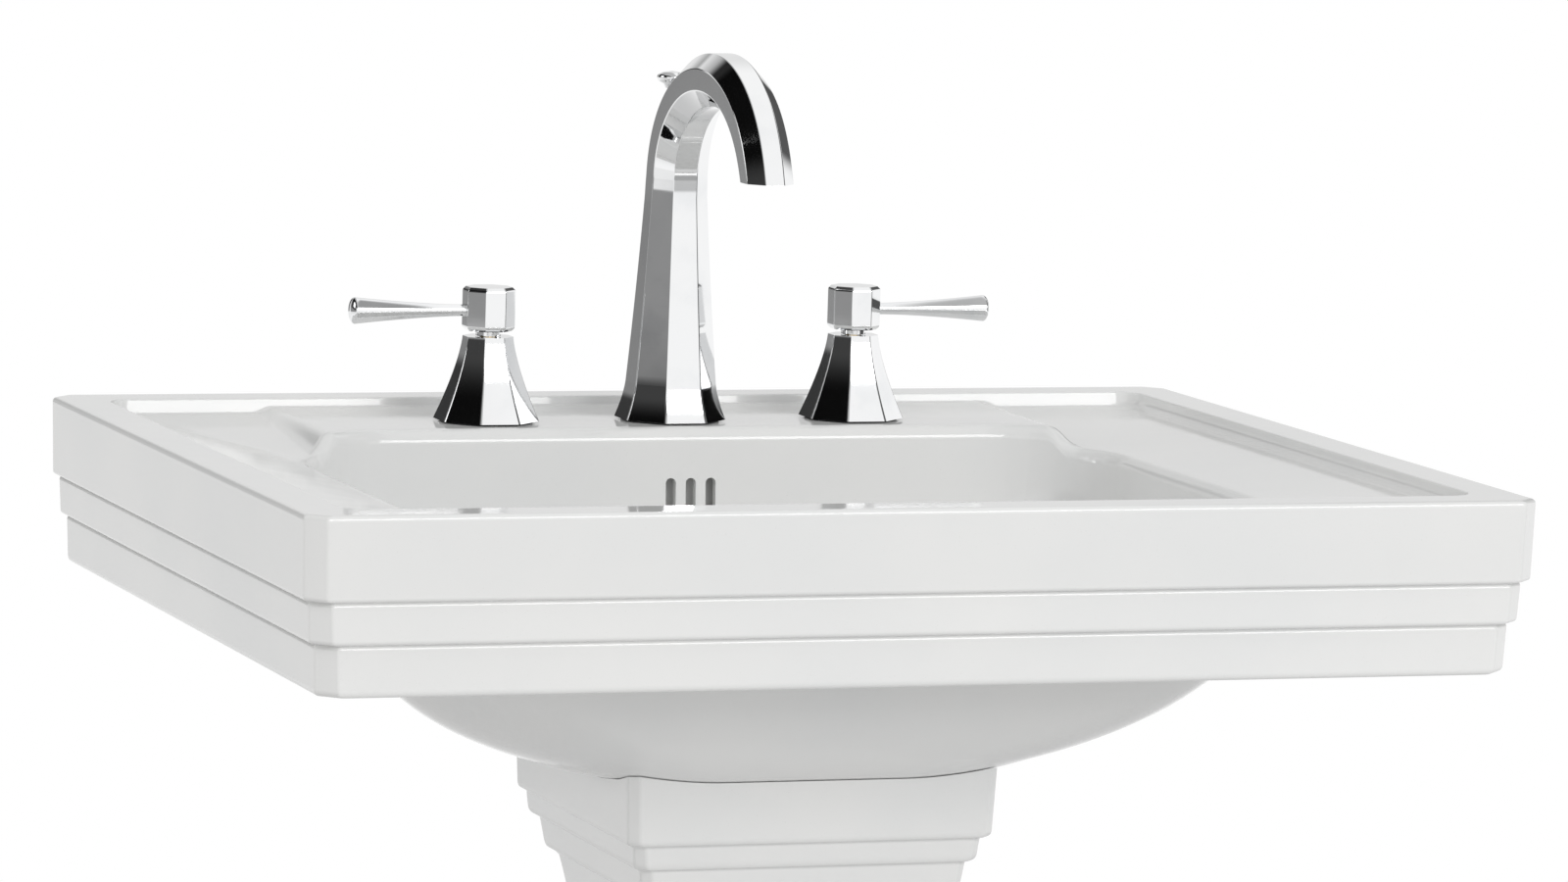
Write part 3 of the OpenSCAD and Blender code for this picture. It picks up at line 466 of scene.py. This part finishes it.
def round_ring(key, hx, hy, r, y):
    """Half a rectangle with round corners, its middle at y."""
    q = min(r, hx, hy)
    px, py = along_ring(key, hx, hy, hy, lambda t: q * (1 - np.sin(t * QUARTER)),
                        lambda t: q * (1 - np.cos(t * QUARTER)))
    return px, py + y


def chamfer_ring(key, hx, front, back, cut_off=CORNER_CUT, soft=2.2):
    """Half a rectangle whose corners are cut off at 45 degrees, the cut's edges softened."""
    corners = [(cut_off + soft, 0), (cut_off, 0), (0, cut_off), (0, cut_off + soft)]
    x_in, y_in = np.array(soften(corners, [0, soft, soft, 0], 4)).T
    t = np.linspace(0, 1, len(x_in))
    return along_ring(key, hx, front, back, lambda s: np.interp(s, t, x_in), lambda s: np.interp(s, t, y_in))


def bowl_ring(off, swell=0, angle=0.0):
    """Half a ring on the surface that lies off outside the bowl's inner one, from its top to its floor at 90."""
    k = math.cos(math.radians(angle)) ** BOWL_CURVE
    hx, hy = (BOWL_W / 2 + off + swell) * k, (BOWL_D / 2 + off) * k
    r = mix(min(hx, hy), BOWL_CORNER + off + swell, k)
    z = mix(LEDGE_LOW - LIP, FLOOR_Z - off, math.sin(math.radians(angle)) ** BOWL_CURVE)
    return *round_ring(bowl_key, hx, hy, r, mix(waste_y, BOWL_Y, k)), z


def on_circle(x, y, r):
    """Points of half a ring moved onto a circle about the waste."""
    away = np.hypot(x, y - waste_y)
    return x / away * r, waste_y + (y - waste_y) / away * r


def deck_height(x, y, t):
    """Height of the ledges and the tap platform, t going from the bowl's lip to the rim."""
    ledge = mix(LEDGE_LOW, LEDGE_HIGH, t)
    ends = deck_z - (np.abs(x) - PLATFORM) * PLATFORM_FALL
    top = smooth_min(np.full_like(x, deck_z), ends, END_SOFT)
    return mix(ledge, smooth_max(ledge, top, FOOT_SOFT), smooth_step(*PLATFORM_FRONT, y))


def rim_ring(grow_x, grow_y, lean=0):
    """Half the rim's inner outline, grown to the sides and to both ends; a lean draws the ends inwards."""
    hx, hy, r = half_w - RIM_W + grow_x, half_d - RIM_W + grow_y, RIM_CORNER + max(grow_x, grow_y)
    x, y = round_ring(outer_key, hx, hy, r, 0)
    return x, y - np.sign(y) * lean


def waste_and_bowl():
    """Rings from the waste's hole over its recess, the floor and the wall up to the lip."""
    x, y, z = bowl_ring(0, 0, WALL_END)
    rows = [whole(*on_circle(x, y, r), h) for r, h in WASTE_RINGS]
    edge_r, edge_z = WASTE_RINGS[-1]
    edge_x, edge_y = on_circle(x, y, edge_r)
    for t in np.linspace(0, 1, 6)[1:-1]:
        rows.append(whole(mix(edge_x, x, t), mix(edge_y, y, t), mix(edge_z, z, t * t * (2 - t))))
    for angle in np.linspace(WALL_END, 0, 46):
        rows.append(whole(*bowl_ring(0, 0, angle)))
    return rows


def deck_and_rim():
    """Rings over the lip, the ledges and the platform, up the rim's fillet and over its inner edge."""
    lip_x, lip_y, _ = bowl_ring(LIP)
    lip_z = deck_height(lip_x, lip_y, 0.0)
    side = np.interp(outer_key, SIDES_OF_RING, (0, 0, 1, 1, 0, 0))
    high = deck_height(*rim_ring(-SIDE_FILLET, -END_FILLET), 1.0)
    fillet = np.minimum(mix(END_FILLET, SIDE_FILLET, side), rim_z - RIM_ROUND - high)
    lean = RIM_LEAN * (rim_z - RIM_ROUND - high - fillet) * (1 - side)
    foot_x, foot_y = rim_ring(-SIDE_FILLET, -END_FILLET, lean)
    rows = []
    for t in np.linspace(0, 1, 10):
        a = t * math.pi / 2
        x, y, _ = bowl_ring(LIP * (1 - math.cos(a)))
        rows.append(whole(x, y, lip_z - LIP * (1 - math.sin(a))))
    for t in np.linspace(0, 1, 25)[1:]:
        x, y = mix(lip_x, foot_x, t), mix(lip_y, foot_y, t)
        rows.append(whole(x, y, deck_height(x, y, t)))
    for t in np.linspace(0, 1, 6)[1:]:
        a = t * math.pi / 2
        shrink = math.sin(a) - 1
        x, y = rim_ring(SIDE_FILLET * shrink, END_FILLET * shrink, lean)
        rows.append(whole(x, y, high + fillet * (1 - math.cos(a))))
    for t in np.linspace(0, 1, 6):
        a = t * math.pi / 2
        grow = RIM_ROUND * (1 - math.cos(a))
        rows.append(whole(*rim_ring(grow, grow), rim_z - RIM_ROUND * (1 - math.sin(a))))
    return rows


def back_inset(inset, depth):
    """Inset of the plain back where the fascia has one at a depth: only its top edge is round."""
    if depth <= -BACK_ROUND:
        return 0
    turn = BACK_ROUND - math.sqrt(max(0, BACK_ROUND ** 2 - (BACK_ROUND + depth) ** 2))
    return max(turn, inset) if depth > -0.05 else turn


def fascia_and_deck_underside():
    """Rings down the stepped fascia, up its inner face and inwards under the deck."""
    rows = []
    for inset, depth in soften(FASCIA_STEPS, [0, 3, 4.2, 0.7, 0.8, 4.2, 0.7, 0.8, 4.2, 0], 6):
        back = half_d - back_inset(inset, depth)
        rows.append(whole(*chamfer_ring(outer_key, half_w - inset, half_d - inset, back), rim_z + depth))
    inner = soften([(20, -FASCIA), (26.2, -FASCIA), (18.2, -DECK), (40, -DECK)], [0, 2, 8, 0], 5)
    for inset, depth in inner:
        back = half_d - min(CHINA, inset)
        rows.append(whole(*chamfer_ring(outer_key, half_w - inset, half_d - inset, back), rim_z + depth))
    start_x, start_y = chamfer_ring(outer_key, half_w - 40, half_d - 40, half_d - 20)
    end_x, end_y, _ = bowl_ring(CHINA + 7, SWELL)
    for t in np.linspace(0, 1, 5):
        rows.append(whole(mix(start_x, end_x, t), mix(start_y, end_y, t), rim_z - DECK))
    return rows


def bulge_and_boss():
    """Rings down the bulge, its back corners drawn in and its overflow channel proud, to the waste's boss."""
    rows = []
    for angle in np.linspace(BULGE_TOP, BULGE_END, 40):
        x, y, z = bowl_ring(CHINA, SWELL, angle)
        x = x * (1 - BULGE_DRAW * smooth_step(-60, 60, y - BOWL_Y) * smooth_step(90, 170, np.abs(x)))
        channel = CHANNEL_PROUD * smooth_step(*CHANNEL_SIDE, np.abs(x)) * (y > waste_y)
        rows.append(whole(x, y + channel * (angle < CHANNEL_END), np.full_like(x, z)))
    x, y, z = bowl_ring(CHINA, SWELL, 80)
    return rows + [whole(*on_circle(x, y, r), h) for r, h in BOSS_RINGS]


def channel_tool(near=5, far=11, half_x=25, last=77):
    """Overflow channel in the wall behind the bowl, between two distances from its inner surface."""
    def line(off):
        points = []
        for angle in np.linspace(0, last, 14):
            _, y, z = bowl_ring(off, 0, angle)
            points.append((y[0], z))
        return points
    outline = line(far) + line(near)[::-1]
    return skin("channel", [[(x, y, z) for y, z in outline] for x in (-half_x, half_x)], "caps")


def slot_tool(x):
    """Upright overflow slot with round ends, through the bowl's back wall into the channel."""
    turn = np.linspace(0, 2 * math.pi, 40, endpoint=False)
    r = SLOT_W / 2
    px = x + r * np.cos(turn)
    pz = rim_z - SLOT_DEPTH + r * np.sin(turn) + np.where(np.sin(turn) >= 0, 1, -1) * (SLOT_H / 2 - r)
    back = BOWL_Y + BOWL_D / 2
    return skin("slot", [np.stack([px, np.full(40, y), pz], 1) for y in (back - 14, back + 8)], "caps")


rings = waste_and_bowl() + deck_and_rim() + fascia_and_deck_underside() + bulge_and_boss()
basin = skin("basin_china", rings, "joined")
for x in (-tap_x, 0, tap_x):
    cut(basin, rod((x, tap_y, 0), "z", TAP_HOLE, rim_z - 40, rim_z + 5))
for x in (-FIXING_X, FIXING_X):
    cut(basin, rod((x, 0, rim_z - FIXING_DEPTH), "y", FIXING_HOLE, half_d - CHINA - 4, half_d + 4))
cut(basin, channel_tool(), *[slot_tool(x) for x in SLOTS])
dress(basin, "china", "root", ["basin"])

# Pedestal: eight-sided rings down its steps, shaft and foot. A reach is (to the sides, front, back).

HEAD_Z = rim_z - 118
HEAD, FOOT = (100, 88, 115), (120, 108, 122)
HEAD_STEPS = [(0, 0, 0), (72.5, -3, 0), (73.5, -7.5, 3.5), (85.5, -8.7, 4), (86.5, -13, 2.5), (101.5, -15, 0),
              (103.5, -18, -6)]  # (depth, growth, more growth at the back)
FOOT_STEPS = [(73, -18), (66, -16), (65, -12), (48, -10), (47, -4), (2, 0), (0, -2)]  # (height, growth)
# (height, and its reaches) at both ends of the shaft and of the flare
SHAFT = (HEAD_Z - 104, 82, 70, 85), (HEAD_Z - 183, 76, 68, 62)
FLARE = (150, 72, 64, 60), (74, 96, 84, 98)
BOLT_X, BOLT_HOLE = 85, 4.5


def level(z, reach, grow, back_more=0):
    return z, reach[0] + grow, reach[1] + grow, reach[2] + grow + back_more


def eased(top, bottom, power, steps=18):
    """Levels from top to bottom whose reaches change by a power of the way; a negative one starts slowly."""
    rows = []
    for t in np.linspace(0, 1, steps):
        s = (1 - t) ** power if power > 0 else 1 - t ** -power
        rows.append((mix(top[0], bottom[0], t), *[mix(b, a, s) for a, b in zip(top[1:], bottom[1:])]))
    return rows


def pedestal_levels():
    head = soften([level(HEAD_Z - depth, HEAD, grow, more) for depth, grow, more in HEAD_STEPS],
                  [0, 4.5, 1.4, 4.5, 1.4, 3, 0])
    foot = soften([level(z, FOOT, grow) for z, grow in FOOT_STEPS], [0, 1.2, 4, 1.2, 4, 1.5, 0])
    return np.array(head + eased(*SHAFT, 2) + eased(*FLARE, -2) + foot)


def cut_ring(z, side, front, back, cut_off=5, soft=1.3):
    """Rectangle with its corners cut off at 45 degrees."""
    s, f, b, c = side, -front, back, cut_off
    corners = [(s, f + c), (s, b - c), (s - c, b), (c - s, b), (-s, b - c), (-s, f + c), (c - s, f), (s - c, f)]
    loop = soft_loop(corners, soft)
    return np.column_stack([loop, np.full(len(loop), z)])


def pedestal_piece():
    """Hollow column, open at its head and back, that leaves room for the basin's bulge."""
    levels = pedestal_levels()
    outer = skin("pedestal_china", [cut_ring(*row) for row in levels], "caps")
    inner = [row - (0, CHINA, CHINA, CHINA) for row in levels[::3]]
    inner[0] = inner[0] * (0, 1, 1, 1) + (rim_z, 0, 0, 0)
    last = levels[-1] - (1, CHINA, CHINA, CHINA)
    hollow = skin("hollow", [cut_ring(*row) for row in [*inner, last]], "caps")
    pads = [block((x - 35, -25, -5), (x + 35, 25, 14)) for x in (-BOLT_X, BOLT_X)]
    cut(hollow, *pads)
    bulge = skin("bulge", [whole(*bowl_ring(CHINA + 0.4, SWELL, angle)) for angle in np.linspace(0, 88, 50)])
    holes = [rod((x, 0, 0), "z", BOLT_HOLE, -5, 30) for x in (-BOLT_X, BOLT_X)]
    return cut(outer, hollow, block((-52, 0, 48), (52, 300, rim_z)), bulge, *holes)


dress(pedestal_piece(), "china", "root", ["pedestal"])

# Eight-sided fittings: a node tree draws a many-sided section along a path


class Tree:
    """Geometry node group whose inputs are named."""

    def __init__(self, name, inputs):
        self.group = bpy.data.node_groups.new(name, "GeometryNodeTree")
        face = self.group.interface
        face.new_socket("Geometry", in_out="OUTPUT", socket_type="NodeSocketGeometry")
        for label, kind in inputs.items():
            face.new_socket(label, in_out="INPUT", socket_type=kind)
        self.entry = self.node("NodeGroupInput")

    def node(self, kind, settings=None, inputs=None):
        made = self.group.nodes.new(kind)
        for name, value in (settings or {}).items():
            setattr(made, name, value)
        for name, value in (inputs or {}).items():
            if isinstance(value, bpy.types.Node):
                value = value.outputs[0]
            if isinstance(value, bpy.types.NodeSocket):
                self.group.links.new(value, made.inputs[name])
            else:
                made.inputs[name].default_value = value
        return made

    def given(self, label):
        return self.entry.outputs[label]

    def finish(self, geometry):
        real = self.node("GeometryNodeRealizeInstances", None, {"Geometry": geometry})
        inputs = {"Geometry": real, "Material": self.given("Material")}
        self.node("NodeGroupOutput", None, {"Geometry": self.node("GeometryNodeSetMaterial", None, inputs)})
        return self.group


def section_tree():
    tree = Tree("many-sided section along a path", {
        "Path": "NodeSocketGeometry", "Sides": "NodeSocketInt", "Turn": "NodeSocketFloat",
        "Corner Radius": "NodeSocketFloat", "Edge Round": "NodeSocketFloat", "Material": "NodeSocketMaterial"})
    outline = tree.node("GeometryNodeCurvePrimitiveCircle", None,
                        {"Resolution": tree.given("Sides"), "Radius": tree.given("Corner Radius")})
    turn = tree.node("ShaderNodeCombineXYZ", None, {"Z": tree.given("Turn")})
    turned = tree.node("GeometryNodeTransform", None, {"Geometry": outline, "Rotation": turn})
    soft = tree.node("GeometryNodeFilletCurve", {"mode": "POLY"},
                     {"Curve": turned, "Count": 4, "Radius": tree.given("Edge Round"), "Limit Radius": True})
    path = tree.node("GeometryNodeMeshToCurve", None, {"Mesh": tree.given("Path")})
    across = tree.node("GeometryNodeInputNamedAttribute", {"data_type": "FLOAT"}, {"Name": "across"})
    return tree.finish(tree.node("GeometryNodeCurveToMesh", None,
                                 {"Curve": path, "Profile Curve": soft, "Scale": across, "Fill Caps": True}))


SECTION = section_tree()
SIDES, EDGE_ROUND = 8, 0.04  # of a section that is 1 across


def swept(name, path):
    """Piece whose eight-sided section, given as (x, y, z, across) in millimetres, follows a path."""
    path = np.asarray(path, float)
    data = bpy.data.meshes.new(name)
    data.from_pydata((path[:, :3] * MM).tolist(), [(i, i + 1) for i in range(len(path) - 1)], [])
    data.attributes.new("across", "FLOAT", "POINT").data.foreach_set("value", (path[:, 3] * MM).tolist())
    obj = bpy.data.objects.new(name, data)
    scene.collection.objects.link(obj)
    step = obj.modifiers.new("section", "NODES")
    step.node_group = SECTION
    values = {"Sides": SIDES, "Turn": math.pi / SIDES, "Corner Radius": 0.5 / math.cos(math.pi / SIDES),
              "Edge Round": EDGE_ROUND, "Material": FINISHES["chrome"]}
    for item in SECTION.interface.items_tree:
        if item.in_out == "INPUT" and item.name in values:
            step[item.identifier] = values[item.name]
    bake_modifiers(obj)
    clean(obj.data)
    return obj


# Spout: sizes in millimetres, (forward, up) from the middle of its foot

COLUMN_H, FOOT_H = 118, 19
FOOT_W, COLUMN_W, ARCH_W, OUTLET_W = 44, 29.5, 30.2, 25
ARCH = [np.array(point) for point in ((0, 128), (3, 192), (118, 209.8), (146, 137))]  # control points
ARCH_LEAN = 0.6
OUTLET_Y, OUTLET_Z = tap_y - ARCH[-1][0], foot_z + ARCH[-1][1]
OUTLET_BORE, ROD_HOLE, SHANK_BORE = 8.6, 2.7, 8.1


def spout_path():
    """Up the flared foot and the column, along the arch, and on in its direction past the cut of the outlet."""
    points = []
    for h in [*np.linspace(0, FOOT_H, 14), *np.linspace(FOOT_H, COLUMN_H, 22)[1:]]:
        flare = 4 * (1 - h / COLUMN_H) ** 2 + 7 * max(0, 1 - h / FOOT_H) ** 1.6
        points.append((0, tap_y, foot_z + h, mix(FOOT_W, COLUMN_W, h / ARCH[0][1]) + flare))
    points.append((0, tap_y - ARCH_LEAN / 2, foot_z + 123, 30.5))
    a, b, c, d = ARCH
    for t in np.linspace(0, 1, 60):
        forward, up = (1 - t) ** 3 * a + 3 * t * (1 - t) ** 2 * b + 3 * t * t * (1 - t) * c + t ** 3 * d
        points.append((0, tap_y - forward - ARCH_LEAN * (1 - t), foot_z + up, mix(ARCH_W, OUTLET_W, t)))
    points.append((0, tap_y - forward - 3.6, foot_z + up - 9.4, OUTLET_W))
    return points


def spout_piece():
    """Spout with its outlet cut level and bored, the lift rod's hole, and the waterway's mouth in its foot."""
    spout = swept("spout_octagon", spout_path())
    cut(spout, block((-40, OUTLET_Y - 44, OUTLET_Z - 40), (40, OUTLET_Y + 36, OUTLET_Z)),
        rod((0, OUTLET_Y, OUTLET_Z), "z", OUTLET_BORE, -5, 7), rod((0, rod_y, foot_z), "z", ROD_HOLE, 120, 200),
        rod((0, tap_y - 5, foot_z), "z", SHANK_BORE, -5, 15))
    round_edges(spout, 1.2, 3, 55)
    return spout


dress(spout_piece(), "chrome", "root", ["spout_body"], sharp=30)

# Bells, hubs and levers: sizes in millimetres, the hub's and the lever's from the frame's boxes

BELL_H, BELL_HEAD, BELL_FLARE = 44, 25, 27
HUB_W, HUB_H = 26, 23
HUB_EDGES = [(0, 22.8), (1.6, HUB_W), (21.4, HUB_W), (HUB_H, 22.8)]  # (height, across)
COLLAR_R, STEM_BORE, BELL_BORE, TENON_HOLE, SCREW_HOLE = 6.5, 4.05, 4.6, 3.2, 2
LEVER_ROOT_R, LEVER_TIP_R, LEVER_REACH, LEVER_ROUND = 3.1, 7, 76, 3


def bell_path(x, thinner=0.0, start=0.0, end=BELL_H):
    return [(x, tap_y, h + foot_z, BELL_HEAD + BELL_FLARE * max(0, 1 - h / BELL_H) ** 1.4 - thinner)
            for h in np.linspace(start, end, 40)]


def bell(side, x):
    return cut(swept(side + "_bell_octagon", bell_path(x)), swept("inside", bell_path(x, 4.4, -1, 41.8)),
               rod((x, tap_y, foot_z), "z", BELL_BORE, 30, 50))


def hub(side, x, outwards, lever_z):
    """Block with a collar under it, bored for the stem, the lever and the set screw."""
    z = box_mm(side + "_handle_hub")[1][2] - HUB_H
    edge = soften(HUB_EDGES, [0, 1.0, 1.0, 0], 3)
    piece = swept(side + "_hub_block", [(x, tap_y, z + h, across) for h, across in edge])
    cut(piece, rod((x, tap_y, z), "z", COLLAR_R, -2.7, 2), operation="UNION")
    return cut(piece, rod((x, tap_y, z), "z", STEM_BORE, -5, 14.3),
               rod((x, tap_y, lever_z), outwards, TENON_HOLE, 9, 20),
               rod((x, tap_y, lever_z), "y", SCREW_HOLE, 5, 20))


def lever(side, x, outwards, lever_z):
    """Cone that widens to a round end, with a tenon in the hub."""
    tenon, neck, shoulder = HUB_W / 2 - 3.8, HUB_W / 2 + 3, LEVER_REACH - LEVER_ROUND
    shape = [(0, tenon), (LEVER_ROOT_R, tenon)]
    for t in np.linspace(0, 1, 30):
        shape.append((mix(LEVER_ROOT_R, LEVER_TIP_R, t ** 1.5), mix(neck, shoulder, t)))
    for a in np.linspace(0.1, math.pi / 2, 12):
        shape.append((LEVER_TIP_R * math.cos(a), shoulder + LEVER_ROUND * math.sin(a)))
    return spun(side + "_lever_cone", shape, (x, tap_y, lever_z), outwards)


for side, x, outwards in (("left", -tap_x, "-x"), ("right", tap_x, "x")):
    body = side + "_handle"
    lever_z = middle(side + "_lever")[2]
    dress(bell(side, x), "chrome", "root", [side + "_bell"], sharp=30)
    dress(hub(side, x, outwards, lever_z), "chrome", body, [side + "_handle_hub"], sharp=30)
    dress(lever(side, x, outwards, lever_z), "chrome", body, [side + "_lever"])

# Fittings that keep the CAD shape, their triangles merged and their edges rounded a little

SHAPED = {"basin", "pedestal", "spout_body", "left_bell", "right_bell", "left_handle_hub", "right_handle_hub",
          "left_lever", "right_lever"}


def worked(node):
    """Copy of a CAD node with softened edges."""
    data = frame["nodes"][node].data.copy()
    clean(data)
    obj = bpy.data.objects.new(node + "_worked", data)
    scene.collection.objects.link(obj)
    round_edges(obj, 0.3, 2, 35)
    return obj


for node, obj in frame["nodes"].items():
    if node not in SHAPED:
        slot = obj.data.materials[0].name
        dress(worked(node), slot, obj.parent.name.removeprefix("body:"), [node])

# Floor, lamps, world and camera, in metres

WHITE = (1, 1, 1, 1)
FLOOR_GREY = (0.74, 0.74, 0.74, 1)
FLOOR_REACH = 3.6
WORLD_LEVEL, FRONT_MORE = 0.63, 0.14


def floor_finish():
    """Matt grey round the basin, which keeps its shadow, and plain white where it is seen far away."""
    f = Finish(bpy.data.materials.new("floor"))
    path = f.node("ShaderNodeLightPath").outputs
    seen = Number(f, path["Is Camera Ray"]).math("MAXIMUM", path["Is Glossy Ray"])
    seen = seen.math("MAXIMUM", path["Is Transmission Ray"])
    away = f.number("ShaderNodeVectorMath", {"operation": "LENGTH"}, {0: f.place()}, "Value")
    matt = f.node("ShaderNodeBsdfDiffuse", None, {"Color": FLOOR_GREY})
    white = f.node("ShaderNodeEmission", None, {"Color": WHITE, "Strength": 1})
    share = seen * away.ramp(0.8, 3.2, 0, 1)
    both = f.node("ShaderNodeMixShader", None, {0: share, 1: matt.outputs[0], 2: white.outputs[0]})
    f.node("ShaderNodeOutputMaterial", None, {"Surface": both.outputs[0]})
    return f.owner


def studio_world():
    """White background; mirrors also see the studio's dark parts in it, and soft surfaces get an even light."""
    f = Finish(bpy.data.worlds.new("studio"))
    path = f.node("ShaderNodeLightPath").outputs
    direction = f.node("ShaderNodeTexCoord").outputs["Generated"]
    x, y, z = [Number(f, socket) for socket in f.node("ShaderNodeSeparateXYZ", None, {0: direction}).outputs]
    # Wall on the left, darker from just above the horizon, with an opening at the back
    opening = (x * -1).ramp(0.35, 0.375, 0, 1).math("MAXIMUM", z.ramp(0.27, 0.34, 0, 1))
    wall = (y * 0.55 - x).ramp(0.4, 0.7, 0, 1) * (z.ramp(-0.12, -0.1, 0.1, 0.72) + z.ramp(0.03, 0.065, 0, 0.23))
    wall = wall * (1 - y.ramp(0.8, 0.88, 0, 1) * opening)
    # Ceiling, grey over the middle and dark over the left
    ceiling = (0.3 - x).ramp(0, 0.08, 0, 0.5).math("MAXIMUM", (x * -1).ramp(0.25, 0.4, 0, 0.93))
    ceiling = ceiling * z.ramp(0.3, 0.5, 0, 1)
    # Screens on the right, in front, far back and high up; a shade behind; the floor's edge in front
    front = x.ramp(0.45, 0.6, 0, 0.9) * y.ramp(-0.75, -0.6, 0, 1) * y.ramp(0.08, 0.22, 1, 0)
    far = x.ramp(0.42, 0.52, 0, 0.9) * y.ramp(0.4, 0.48, 0, 1) * z.ramp(0.02, 0.08, 0, 1)
    high = x.ramp(0.37, 0.4, 0, 0.65) * x.ramp(0.5, 0.6, 1, 0) * z.ramp(0.1, 0.4, 0, 1)
    behind = y.ramp(0.6, 0.9, 0, 0.2) * z.ramp(-0.1, -0.03, 0, 1)
    low = y.ramp(-0.8, -0.6, 1, 0) * z.ramp(-0.17, -0.12, 0.6, 0)
    mirrored = 1 - wall
    for dark in (ceiling, front, far, high, behind, low):
        mirrored = mirrored * (1 - dark)
    seen = Number(f, path["Is Camera Ray"]).math("MAXIMUM", path["Is Transmission Ray"])
    glossy = Number(f, path["Is Glossy Ray"])
    even = WORLD_LEVEL + (y * -FRONT_MORE).math("MAXIMUM", 0)
    level = seen + glossy * (1 - seen) * mirrored + (1 - seen) * (1 - glossy) * even
    light = f.node("ShaderNodeBackground", None, {"Color": WHITE, "Strength": level})
    f.node("ShaderNodeOutputWorld", None, {"Surface": light.outputs[0]})
    return f.owner


def lamp(name, place, size, power, target=(0, 0, 0.85)):
    data = bpy.data.lights.new(name, "AREA")
    data.shape = "RECTANGLE"
    data.size, data.size_y = size
    data.energy = power
    obj = bpy.data.objects.new(name, data)
    scene.collection.objects.link(obj)
    obj.location = place
    obj.visible_camera = False
    obj.rotation_euler = (Vector(target) - Vector(place)).to_track_quat("-Z", "Y").to_euler()


floor_mesh = bpy.data.meshes.new("floor")
corners = [(x * FLOOR_REACH, y * FLOOR_REACH, 0) for x, y in ((-1, -1), (1, -1), (1, 1), (-1, 1))]
floor_mesh.from_pydata(corners, [], [(0, 1, 2, 3)])
floor_mesh.materials.append(floor_finish())
floor = bpy.data.objects.new("floor", floor_mesh)
scene.collection.objects.link(floor)

scene.world = studio_world()
lamp("front softbox", (1.0, -3.4, 2.2), (2.0, 1.2), 42)
lamp("side softbox", (-3.0, 0.9, 2.3), (1.6, 1.6), 13)

# The camera's place, lens and angles were solved from the corners of the rim in the photograph
CAMERA_AT, FOCAL_LENGTH = (-1.29683, -3.73010, 1.33599), 179.13
YAW, PITCH, ROLL = 0.3363, 0.1143, 0.0300
lens = bpy.data.cameras.new("camera")
lens.sensor_width = 36
lens.lens = FOCAL_LENGTH
lens.clip_end = 200
camera = bpy.data.objects.new("camera", lens)
scene.collection.objects.link(camera)
look = Vector((math.sin(YAW) * math.cos(PITCH), math.cos(YAW) * math.cos(PITCH), -math.sin(PITCH)))
level_right = Vector((math.cos(YAW), -math.sin(YAW), 0))
level_up = level_right.cross(look)
right = math.cos(ROLL) * level_right + math.sin(ROLL) * level_up
up = math.cos(ROLL) * level_up - math.sin(ROLL) * level_right
turn = Matrix([right, up, -look]).transposed().to_4x4()
camera.matrix_world = Matrix.Translation(CAMERA_AT) @ turn
scene.camera = camera
scene.view_settings.view_transform = "Standard"
